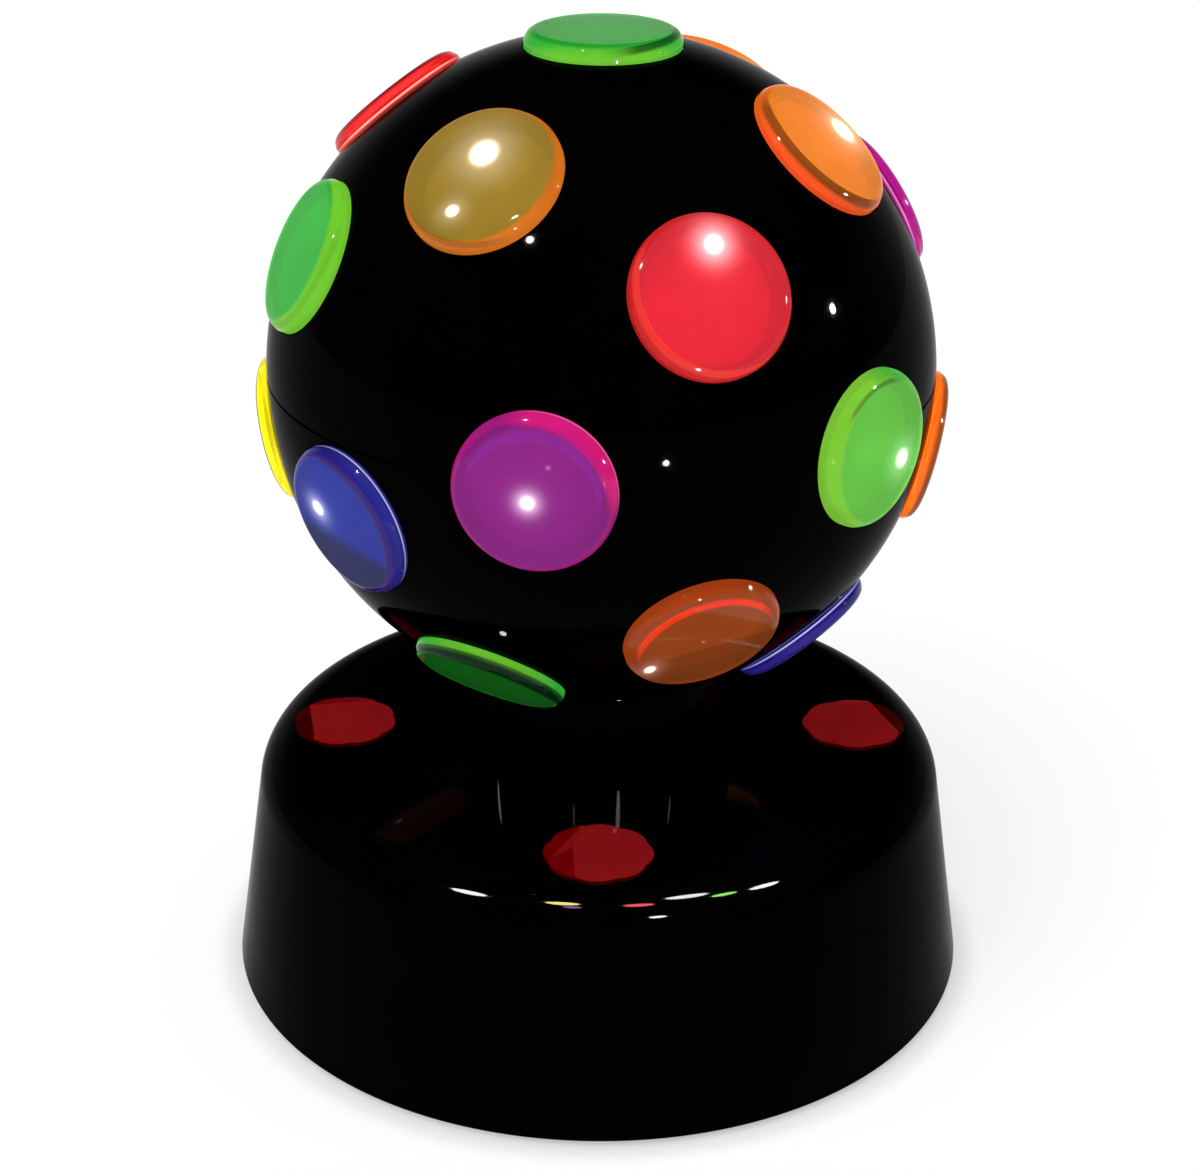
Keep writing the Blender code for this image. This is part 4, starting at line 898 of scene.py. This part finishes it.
def lensValues(local, look):
    # the numbers that the lens finish reads: each painted light or shade band's place and share, and each
    # painted hot spot's distance and heat
    light = lensLight
    radius, height = np.hypot(local[:, 0], local[:, 1]), local[:, 2]
    onTop = np.clip((height - lensSizes["lipTop"] + light["lipBlend"]) / (2 * light["lipBlend"]), 0.0, 1.0)
    values = dict.fromkeys(("fall", "fallShare", "litCrescent", "litCrescentShare", "dusk", "duskShare", "highlightLineShare"), 0.0)
    values["level"], rimLevel, lipLevel = look["lightLevels"]
    values["rim"] = radius - light["rimStart"]
    values["rimLevel"] = lipLevel + (rimLevel - lipLevel) * onTop
    values["spread"] = radius / lensSizes["radius"]
    values["edge"] = (height - light["lineHeight"]) / light["lineWidth"]
    if "fall" in look:
        way, values["fallShare"], softness = look["fall"]
        downhill = local[:, 0] * math.cos(math.radians(way)) + local[:, 1] * math.sin(math.radians(way))
        values["fall"] = (downhill / lensSizes["faceRadius"] - light["fallStart"]) / softness
    for band, shownOn in (("litCrescent", 1.0), ("dusk", onTop)):
        if band in look:
            way, inner, width, share, reach = look[band]
            values[band] = crescentPlace(local, way, inner, width)
            values[f"{band}Share"] = shownOn * share * reachShare(local, way, reach, light["crescentFalloff"])
    if "line" in look:
        way, reach, share = look["line"]
        values["highlightLineShare"] = share * reachShare(local, way, reach, light["lineFalloff"])
    noSpot = (0.0, 0.0, 1.0, 0.0)
    spots = look.get("spots", []) + [noSpot] * light["spots"]
    for number, (x, y, wide, heat) in enumerate(spots[:light["spots"]]):
        values[f"gap{number}"] = np.hypot(local[:, 0] - x, local[:, 1] - y) / wide
        values[f"heat{number}"] = heat
    return values


def buildLenses():
    # each lens is turned about its own axis, takes its tones and is then swung to its seat on the ball
    profile = lensProfile()
    bodies = {colour: lensBody(colour) for colour in lensTones}
    backs = {colour: lensBack(colour) for colour in lensTones}
    for node, look in lensLooks.items():
        colour = look["tone"]
        lens = turnedObject(f"{node.replace('lens_', 'lens')}_{colour}", profile * mm, lensSizes["sides"])
        for key, value in lensValues(truePositions(lens.data) / mm, look).items():
            keepValues(lens, key, value)
        # the underside and the spigot are the frosted back
        isBack = faceMiddles(lens)[:, 2] < lensSizes["bottom"] + lensBackLight["reach"]
        movePoints(lens, Matrix.Translation(Vector(ballMiddle)) @ lensTurns[node].to_4x4())
        smooth(lens, lensSizes["softDegrees"])
        slot = lensTones[colour].get("slot", colour)
        dressed(lens, "ball", node, f"lens_{slot}", bodies[colour], backs[colour])
        lens.data.polygons.foreach_set("material_index", isBack.astype(int))


buildLenses()


print("neck")
neckSizes = {"wall": 2.2, "web": 2.2, "bottom": 35.1, "flangeLow": 40.4, "flangeHigh": 42.9,
             "flangeWidth": 3.3, "webBore": 16.3, "headGap": 0.3,
             "bends": (0.2, 0.2, 0.0, 0.2, 0.2, 0.0, 0.15, 0.2, 0.2, 0.0), "bendSteps": 3, "sides": 160}


def buildNeck(black):
    # a tube with a flange round it and a web across its head, just under the ball's mouth
    size = neckSizes
    radius, bore = ballSizes["neckRadius"], size["webBore"]
    inner, flange = radius - size["wall"], radius + size["flangeWidth"]
    head = ballMiddle[2] / mm - math.sqrt(ballSizes["radius"] ** 2 - radius ** 2) - size["headGap"]
    corners = [(inner, size["bottom"]), (radius, size["bottom"]), (radius, size["flangeLow"]),
               (flange, size["flangeLow"]), (flange, size["flangeHigh"]), (radius, size["flangeHigh"]),
               (radius, head), (bore, head), (bore, head - size["web"]), (inner, head - size["web"])]
    profile = rounded(corners, size["bends"], size["bendSteps"])
    neck = smooth(turnedObject("neck", profile * mm, size["sides"]))
    dressed(neck, "ball", "neck_hub", "gloss_black", black)


buildNeck(blackGloss)


print("base")
baseSizes = {"rim": 70.5, "top": 63.85, "height": 44.8, "shoulder": 8.5, "wall": 2.4, "rimZ": 1.0,
             "opening": 24.7, "rimEdge": 0.6, "mouthEdge": 0.35, "sides": 192, "turn": 0.5,
             "shoulderSteps": 24, "innerSteps": 8, "edgeSteps": 5, "slotLong": 10.0, "slotHigh": 4.0,
             "slotEdge": 0.4, "slotZ": 12.0, "slotIn": 6.0, "slotOut": 4.0, "jewels": 4,
             "jewelRing": 48.8186, "pegHole": 3.3, "pegDepth": 5.0, "pegOver": 2.0, "pegSides": 32}


def drumRadius(height, inset=0.0):
    # the drum's wall leans in as it goes up; the inset is measured square to the wall
    lean = math.atan2(baseSizes["rim"] - baseSizes["top"], baseSizes["height"])
    return baseSizes["rim"] - height * math.tan(lean) - inset / math.cos(lean)


def slotCutter():
    # the switch's slot: a long hole with round corners, carried through the rear wall
    size = baseSizes
    x, z = size["slotLong"] / 2, size["slotHigh"] / 2
    outline = rounded([(-x, -z), (x, -z), (x, z), (-x, z)], [size["slotEdge"]] * 4)
    wallY = drumRadius(size["slotZ"] - size["rimZ"])
    ends = [np.insert(outline, 1, y, axis=1) + (0.0, 0.0, size["slotZ"])
            for y in (wallY - size["slotIn"], wallY + size["slotOut"])]
    count = len(outline)
    faces = ringFaces(2, count, False)[:, ::-1].tolist()
    faces += [list(range(count)), list(range(2 * count - 1, count - 1, -1))]
    cutter = newObject("slotCutter", np.concatenate(ends) * mm, faces)
    work = bmesh.new()
    work.from_mesh(cutter.data)
    bmesh.ops.recalc_face_normals(work, faces=work.faces)
    work.to_mesh(cutter.data)
    work.free()
    return cutter


def jewelPlace(degrees):
    # the move from the lamp's axis to a jewel's place on the base's top
    way = math.radians(degrees)
    return shifted(baseSizes["jewelRing"] * math.cos(way), baseSizes["jewelRing"] * math.sin(way))


def buildBase(black):
    # a leaning wall, a quarter round shoulder and a flat top, with an even wall behind them
    size = baseSizes
    lean = math.degrees(math.atan2(size["rim"] - size["top"], size["height"]))
    bendHeight = size["height"] - size["shoulder"]
    middle = (drumRadius(bendHeight, size["shoulder"]), size["rimZ"] + bendHeight)
    topZ = size["rimZ"] + size["height"]
    outside = np.concatenate([[(drumRadius(0.0), size["rimZ"])],
                              arcPoints(middle, size["shoulder"], lean, 90.0, size["shoulderSteps"])])
    inner = size["shoulder"] - size["wall"]
    inside = np.concatenate([[(drumRadius(0.0, size["wall"]), size["rimZ"])],
                             arcPoints(middle, inner, lean, 90.0, size["innerSteps"])])
    mouth = [(size["opening"], topZ), (size["opening"], topZ - size["wall"])]
    corners = np.concatenate([outside, mouth, inside[::-1]])
    bends = np.zeros(len(corners))
    bends[[0, -1]] = size["rimEdge"]
    bends[len(outside)] = size["mouthEdge"]
    profile = rounded(corners, bends, size["edgeSteps"])
    shell = turnedObject("baseShell", profile * mm, size["sides"], size["turn"])
    cutters = [slotCutter()]
    low, high = topZ - size["pegDepth"], topZ + size["pegOver"]
    peg = np.array([(0.0, low), (size["pegHole"], low), (size["pegHole"], high), (0.0, high)]) * mm
    for number in range(size["jewels"]):
        hole = turnedObject("pegHole", peg, size["pegSides"])
        cutters.append(movePoints(hole, jewelPlace(360.0 * number / size["jewels"])))
    smooth(carve(shell, cutters))
    dressed(shell, "base", "base_shell", "gloss_black", black)


buildBase(blackGloss)


print("jewels")
jewelSizes = {"radius": 9.75, "bottom": 46.1, "girdle": 0.9, "crown": 0.5, "table": 0.92, "underEdge": 0.3,
              "pegRadius": 3.0, "pegEnd": 42.6, "sides": 8, "scallop": 0.05, "steps": 10, "inner": 0.47,
              "innerTurn": 150.0, "cross": 0.367, "steep": 0.05, "flat": 0.99, "facetReach": 30.0}
# the table's own red, and the painted shade tones of the shaded and the darkest facets
jewelTones = {"table": (122, 16, 19), "paintedShade": (96, 0, 3), "black": (52, 0, 0)}
# glow is a painted glow of light from inside the gem
jewelLight = {"glow": 0.58, "body": 0.6, "specular": 0.004, "mottleScale": 140.0, "mottle": (0.93, 1.07),
              "wearScale": 300.0, "roughness": (0.04, 0.1)}
# each jewel: its place round the base, the way of its first table corner, the ways of its facets with painted
# shade and with the darkest painted shade, and the tones of the two painted reflections on its table (1
# table,
# 0.5 shade, 0 darkest shade)
jewelLooks = {"front": (270.0, 19.6, (154.6,), (), (0.85, 0.55)),
              "right": (0.0, 65.0, (), (20.0,), (1.0, 1.0)),
              "back": (90.0, 19.6, (64.6,), (), (1.0, 1.0)),
              "left": (180.0, 55.0, (100.0,), (190.0,), (1.0, 1.0))}


def jewelFinish():
    # red plastic with painted shade on some facets, painted reflections on its table and a painted glow
    light = jewelLight
    finish, tree, shader = newFinish("redJewel")
    table, paintedShade, black = (srgb(*jewelTones[key]) for key in ("table", "paintedShade", "black"))
    colours = rampOf(tree, valueOf(tree, "tone"), [(0.0, black), (0.5, paintedShade), (1.0, table)])
    mottle, wear = noiseOf(tree, light["mottleScale"]), noiseOf(tree, light["wearScale"])
    colours = scaledColour(tree, colours, rangeOf(tree, mottle, *light["mottle"]))
    feed(tree, shader.inputs["Base Color"], scaledColour(tree, colours, light["body"]))
    feed(tree, shader.inputs["Emission Color"], colours)
    shader.inputs["Emission Strength"].default_value = light["glow"]
    shader.inputs["Specular IOR Level"].default_value = light["specular"]
    feed(tree, shader.inputs["Roughness"], rangeOf(tree, wear, *light["roughness"]))
    return finish


def jewelMesh():
    # a peg, a girdle of eight lobes, a square table that reaches every second cusp of the girdle and a facet
    # from each of its sides down to the cusp between; also gives the number of the first mark's face
    size = jewelSizes
    count, steps = size["sides"], size["steps"]
    total = count * steps
    girdleTop = size["bottom"] + size["girdle"]
    tableTop = girdleTop + size["crown"]
    angle = tau * np.arange(total) / total
    lobes = 1.0 - size["scallop"] * (1.0 - np.abs(np.sin(angle * count / 2.0)))

    def ring(radius, height, around=angle):
        return np.stack([radius * np.cos(around), radius * np.sin(around), 0.0 * around + height], -1)

    fine = [ring(size["pegRadius"], size["pegEnd"]), ring(size["pegRadius"], size["bottom"]),
            ring((size["radius"] - size["underEdge"]) * lobes, size["bottom"]),
            ring(size["radius"] * lobes, size["bottom"] + size["underEdge"]),
            ring(size["radius"] * lobes, girdleTop)]
    corners = ring(size["radius"] * size["table"], tableTop, tau * np.arange(4) / 4.0)
    inner = ring(size["radius"] * size["inner"], tableTop, np.radians([size["innerTurn"]]))
    cross = corners[2:3] + size["cross"] * (corners[3:4] - corners[2:3])
    low, top = (len(fine) - 1) * total, len(fine) * total
    mark, foot = top + 4, top + 5
    faces = ringFaces(len(fine), total, False).tolist()
    below = [[low + (side * 2 * steps + step) % total for step in range(2 * steps + 1)] for side in range(4)]
    for side in (0, 1, 3):
        faces.append(below[side] + [top + (side + 1) % 4, top + side])
    # the third facet is split where the painted reflection mark on the table runs down over it
    faces += [below[2][:steps + 1] + [foot, top + 2], below[2][steps:] + [top + 3, foot]]
    faces.append(list(range(total))[::-1])
    firstMark = len(faces)
    faces += [[top + 2, mark, top + 1], [top + 2, foot, mark], [mark, foot, top + 3, top, top + 1]]
    return np.concatenate(fine + [corners, inner, cross]), faces, firstMark


def jewelFacetShades(jewel, start, shadedWays, deepShadeWays, reflectionTones, firstMark):
    # the table and the bright facets have 1; a facet that points near one of the ways gets that way's painted
    # shade, and the two marks on the table get their painted reflection tones
    middles, normals = faceMiddles(jewel), np.array([face.normal for face in jewel.data.polygons])
    around = np.degrees(np.arctan2(middles[:, 1], middles[:, 0])) + start
    upward = normals[:, 2] > jewelSizes["steep"]
    onCrown = upward & (normals[:, 2] < jewelSizes["flat"])
    tones = np.where(upward, 1.0, 0.0)
    for value, ways in ((0.5, shadedWays), (0.0, deepShadeWays)):
        for toward in ways:
            apart = np.abs((around - toward + 180.0) % 360.0 - 180.0)
            tones[onCrown & (apart < jewelSizes["facetReach"])] = value
    split = firstMark - 3
    tones[firstMark], tones[firstMark + 1] = reflectionTones
    tones[split] = min(reflectionTones[1], tones[split])
    return tones


def buildJewels():
    # four of the same gem, each turned in its own way and given its own painted shade
    finish = jewelFinish()
    spots, faces, firstMark = jewelMesh()
    for name, (place, start, shadedWays, deepShadeWays, reflectionTones) in jewelLooks.items():
        jewel = newObject(f"jewel_{name}Gem", spots * mm, faces)
        tones = jewelFacetShades(jewel, start, shadedWays, deepShadeWays, reflectionTones, firstMark)
        movePoints(jewel, jewelPlace(place) @ Matrix.Rotation(math.radians(start), 4, "Z"))
        keepValues(jewel, "tone", tones, "FACE")
        dressed(jewel, "base", f"jewel_{name}", "jewel_red", finish)


buildJewels()


print("finishes of the plain pieces")
plainFinishes = {
    "black_plastic": mouldedPlastic("mouldedBlack", (0.022, 0.022, 0.024), 0.45),
    "white_acetal": mouldedPlastic("whiteAcetal", (0.72, 0.71, 0.66), 0.38, tone=0.05),
    "steel": brushedMetal("turnedSteel", (0.56, 0.56, 0.57), 0.28, (1.0, 1.0, 12.0)),
    "motor_metal": brushedMetal("motorCan", (0.46, 0.46, 0.47), 0.34, (1.0, 1.0, 0.1)),
    "foot_rubber": mouldedPlastic("footRubber", (0.018, 0.018, 0.018), 0.82, tone=0.3, grainDepth=0.08),
    "brass": brushedMetal("contactBrass", (0.72, 0.56, 0.26), 0.3, (8.0, 1.0, 1.0)),
    "cell_wrap": mouldedPlastic("cellWrap", (0.05, 0.06, 0.10), 0.3, tone=0.12),
    "cell_band": brushedMetal("cellBand", (0.62, 0.34, 0.14), 0.3, (0.1, 1.0, 1.0)),
    "circuit_board": mouldedPlastic("circuitBoard", (0.02, 0.15, 0.06), 0.42, tone=0.3),
    "led_red": mouldedPlastic("redLamp", (0.72, 0.06, 0.06), 0.15, tone=0.1),
    "led_green": mouldedPlastic("greenLamp", (0.06, 0.66, 0.12), 0.15, tone=0.1),
    "led_blue": mouldedPlastic("blueLamp", (0.06, 0.14, 0.72), 0.15, tone=0.1),
}
overrun = 1.0     # how far a cutter reaches past the surface that it opens, in mm
softEdges = {"merge": 0.002, "flatDegrees": 1.0, "edge": 0.22, "edgeDegrees": 38.0, "segments": 3,
             "softDegrees": 35.0}


def nodeBox(name):
    # the CAD piece's lowest and highest corners, its middle and half its width, in mm
    spots = truePositions(frame["nodes"][name].data) / mm
    low, high = spots.min(0), spots.max(0)
    return low, high, (low + high) / 2.0, (high[0] - low[0]) / 2.0


def boxCutter(low, high):
    # a plain box between two corners, faces out
    low, high = np.asarray(low, float), np.asarray(high, float)
    share = np.array([(x, y, z) for z in (0, 1) for y in (0, 1) for x in (0, 1)], float)
    faces = [(0, 2, 3, 1), (4, 5, 7, 6), (0, 1, 5, 4), (2, 6, 7, 3), (0, 4, 6, 2), (1, 3, 7, 5)]
    return newObject("boxCutter", (low + share * (high - low)) * mm, faces)


def placed(made, body, node, slot, *more):
    # the piece takes the CAD node's place, in the slot's finish and any more that parts of it have
    dressed(made, body, node, slot, *(plainFinishes[name] for name in (slot, *more)))


def placedUpright(made, middle, node, slot):
    # a piece turned about the Z axis goes to its place in the base
    smooth(movePoints(made, shifted(middle[0], middle[1])))
    placed(made, "base", node, slot)


def softened(node, name, cutters=()):
    # the CAD piece as whole faces, with the cutters taken out and every edge rounded
    size = softEdges
    made = linked(name, frame["nodes"][node].data.copy())
    work = bmesh.new()
    work.from_mesh(made.data)
    bmesh.ops.remove_doubles(work, verts=work.verts, dist=size["merge"] * mm)
    bmesh.ops.dissolve_limit(work, angle_limit=math.radians(size["flatDegrees"]), verts=work.verts,
                             edges=work.edges)
    work.to_mesh(made.data)
    work.free()
    if cutters:
        carve(made, cutters)
    bevel = made.modifiers.new("edges", "BEVEL")
    bevel.width = size["edge"] * mm
    bevel.segments = size["segments"]
    bevel.limit_method = "ANGLE"
    bevel.angle_limit = math.radians(size["edgeDegrees"])
    return smooth(carve(made, []), size["softDegrees"])


print("feet")
footSizes = {"dish": 0.5, "dishRadius": 2.4, "dishSlope": 0.6, "bends": (0.0, 0.3, 0.3, 0.5, 0.15, 0.0),
             "sides": 64, "count": 4}


def buildFeet():
    # a soft puck with a rounded tread and a shallow dish under it
    size = footSizes
    for number in range(1, size["count"] + 1):
        node = f"rubber_foot_{number}"
        low, high, middle, radius = nodeBox(node)
        dish, dishTop = size["dishRadius"], low[2] + size["dish"]
        corners = [(0.0, dishTop), (dish, dishTop), (dish + size["dishSlope"], low[2]), (radius, low[2]),
                   (radius, high[2]), (0.0, high[2])]
        foot = turnedObject(f"footPad{number}", rounded(corners, size["bends"]) * mm, size["sides"])
        placedUpright(foot, middle, node, "foot_rubber")


buildFeet()


print("screws")
screwSizes = {"head": 1.8, "shank": 0.5, "bends": (0.0, 0.6, 0.15, 0.0), "bendSteps": 5, "sides": 48,
              "threadRows": 120, "threadStart": 0.2, "threadEnd": 1.2, "pitch": 1.1, "depth": 0.28,
              "near": 0.01, "axis": 0.3, "cone": 0.7, "tip": 0.6, "tipRadius": 0.25, "crossLong": 3.4,
              "crossWide": 0.8, "crossDeep": 1.1, "count": 3}


def threaded(screw, shank, start):
    # along the shank the radius falls and rises once each pitch, round and up
    size = screwSizes
    spots = truePositions(screw.data)
    radius, turn = np.hypot(spots[:, 0], spots[:, 1]) / mm, np.arctan2(spots[:, 1], spots[:, 0]) / tau
    height = spots[:, 2] / mm
    wave = np.abs(2.0 * ((height / size["pitch"] - turn) % 1.0) - 1.0)
    onThread = (radius > size["axis"]) & (radius < shank + size["near"]) & (height > start)
    spots[:, :2] *= np.where(onThread, 1.0 - size["depth"] * wave / shank, 1.0)[:, None]
    screw.data.vertices.foreach_set("co", spots.ravel())


def buildScrews():
    # a pan head with a cross recess, a threaded shank and a blunt tip
    size = screwSizes
    for number in range(1, size["count"] + 1):
        node = f"plate_screw_{number}"
        low, high, middle, headRadius = nodeBox(node)
        shank, headTop = headRadius * size["shank"], low[2] + size["head"]
        head = rounded([(0.0, low[2]), (headRadius, low[2]), (headRadius, headTop), (shank, headTop)],
                       size["bends"], size["bendSteps"])
        thread = np.linspace(headTop + size["threadStart"], high[2] - size["threadEnd"], size["threadRows"])
        tip = [(shank * size["cone"], high[2] - size["tip"]), (size["tipRadius"], high[2]), (0.0, high[2])]
        profile = np.concatenate([head, np.stack([np.full(len(thread), shank), thread], -1), tip])
        screw = turnedObject(f"crossScrew{number}", profile * mm, size["sides"])
        threaded(screw, shank, headTop + size["threadStart"] / 2.0)
        half, wide = size["crossLong"] / 2.0, size["crossWide"] / 2.0
        under, deep = low[2] - overrun, low[2] + size["crossDeep"]
        carve(screw, [boxCutter((-half, -wide, under), (half, wide, deep)),
                      boxCutter((-wide, -half, under), (wide, half, deep))])
        placedUpright(screw, middle, node, "steel")


buildScrews()


print("battery door")
doorSizes = {"lines": 5, "fromEdge": 3.5, "pitch": 2.2, "long": 18.0, "wide": 1.0, "deep": 0.5}


def buildDoor():
    # finger grooves across the free edge of the outer face
    size = doorSizes
    low, high, middle, _ = nodeBox("battery_door")
    half, wide = size["long"] / 2.0, size["wide"] / 2.0
    grooves = []
    for number in range(size["lines"]):
        x = high[0] - size["fromEdge"] - number * size["pitch"]
        grooves.append(boxCutter((x - wide, middle[1] - half, low[2] - overrun),
                                 (x + wide, middle[1] + half, low[2] + size["deep"])))
    placed(softened("battery_door", "doorPanel", grooves), "door", "battery_door", "black_plastic")


buildDoor()


print("switch knob")
knobSizes = {"lines": 3, "pitch": 1.15, "wide": 0.45, "deep": 0.4}


def buildKnob():
    # upright finger grooves in the outer face
    size = knobSizes
    low, high, middle, _ = nodeBox("switch_knob")
    wide = size["wide"] / 2.0
    grooves = []
    for number in range(size["lines"]):
        x = middle[0] + (number - (size["lines"] - 1) / 2.0) * size["pitch"]
        grooves.append(boxCutter((x - wide, high[1] - size["deep"], low[2] - overrun),
                                 (x + wide, high[1] + overrun, high[2] + overrun)))
    placed(softened("switch_knob", "switchKnob", grooves), "switch", "switch_knob", "black_plastic")


buildKnob()


print("small lamps inside")
ledSizes = {"flange": 0.7, "flangeWidth": 0.25, "domeSteps": 16, "sides": 48}


def buildLeds():
    # a flange, a straight body and a round dome
    size = ledSizes
    for colour in ("red", "green", "blue"):
        node = f"led_{colour}"
        low, high, middle, radius = nodeBox(node)
        body, flangeTop = radius - size["flangeWidth"], low[2] + size["flange"]
        dome = arcPoints((0.0, high[2] - body), body, 0.0, 90.0, size["domeSteps"])[:-1]
        flange = [(0.0, low[2]), (radius, low[2]), (radius, flangeTop), (body, flangeTop)]
        profile = np.concatenate([flange, dome, [(0.0, high[2])]])
        led = turnedObject(f"ledDome_{colour}", profile * mm, size["sides"])
        placedUpright(led, middle, node, node)


buildLeds()


print("cells")
cellSizes = {"dish": 0.25, "dishRadius": 4.4, "dishSlope": 0.3, "shoulder": 0.7, "buttonRadius": 2.7,
             "button": 1.0, "fold": 1.1, "band": 13.0, "dishBend": 0.1, "buttonFoot": 0.2, "buttonTop": 0.4,
             "bendSteps": 6, "sides": 64, "near": 0.01, "count": 3}


def buildCells():
    # a wrapped can, a shallow dish at its minus end and a button at the other; the wrap folds over both ends
    size = cellSizes
    for number in range(1, size["count"] + 1):
        node = f"aa_cell_{number}"
        low, high, middle, half = nodeBox(node)
        radius = (high[1] - low[1]) / 2.0
        # the CAD cell's button, narrower than its can, says which way it lies
        spots = truePositions(frame["nodes"][node].data) / mm
        lastEnd = spots[spots[:, 0] > high[0] - size["near"]]
        forward = 1.0 if np.ptp(lastEnd[:, 1]) < radius else -1.0
        canEnd, bandStart, dishEnd = half - size["button"], half - size["band"], size["dish"] - half
        dish, button = size["dishRadius"], size["buttonRadius"]
        corners = [(0.0, dishEnd), (dish, dishEnd), (dish + size["dishSlope"], -half), (radius, -half),
                   (radius, bandStart), (radius, canEnd), (button, canEnd), (button, half), (0.0, half)]
        bends = [0.0, size["dishBend"], size["dishBend"], size["shoulder"], 0.0, size["shoulder"],
                 size["buttonFoot"], size["buttonTop"], 0.0]
        profile = rounded(corners, bends, size["bendSteps"])
        cell = turnedObject(f"wrappedCell{number}", profile * mm, size["sides"])
        middles = faceMiddles(cell)
        outer = np.hypot(middles[:, 0], middles[:, 1]) > radius - size["fold"]
        band = middles[:, 2] > bandStart
        movePoints(cell, Matrix.Translation(middle * mm) @ Matrix.Rotation(forward * tau / 4.0, 4, "Y"))
        smooth(cell)
        placed(cell, "base", node, "cell_wrap", "cell_band", "steel")
        cell.data.polygons.foreach_set("material_index", np.where(outer, band * 1, 2))


buildCells()


print("pieces with softened edges")
softPieces = {"base_plate": ("plate", "black_plastic"), "switch_body": ("switchBody", "black_plastic"),
              "gear_deck": ("deck", "black_plastic"), "lamp_post": ("post", "black_plastic"),
              "contact_plate_left": ("contactLeft", "brass"),
              "contact_plate_right": ("contactRight", "brass"),
              "led_board": ("lampBoard", "circuit_board"), "driver_board": ("driverBoard", "circuit_board")}
for nodeName, (pieceName, slotName) in softPieces.items():
    placed(softened(nodeName, pieceName), "base", nodeName, slotName)


print("pieces shown as the CAD has them")
cadPieces = {"thrust_washer": "white_acetal", "drive_gear": "white_acetal", "motor_pinion": "white_acetal",
             "motor_shaft": "steel", "gear_motor": "motor_metal"}
for nodeName, slotName in cadPieces.items():
    nodeObject = frame["nodes"][nodeName]
    if not nodeObject.material_slots:
        nodeObject.data.materials.append(None)
    for slot in nodeObject.material_slots:
        slot.link = "OBJECT"
        slot.material = plainFinishes[slotName]


print("highlights")
buildHighlights()
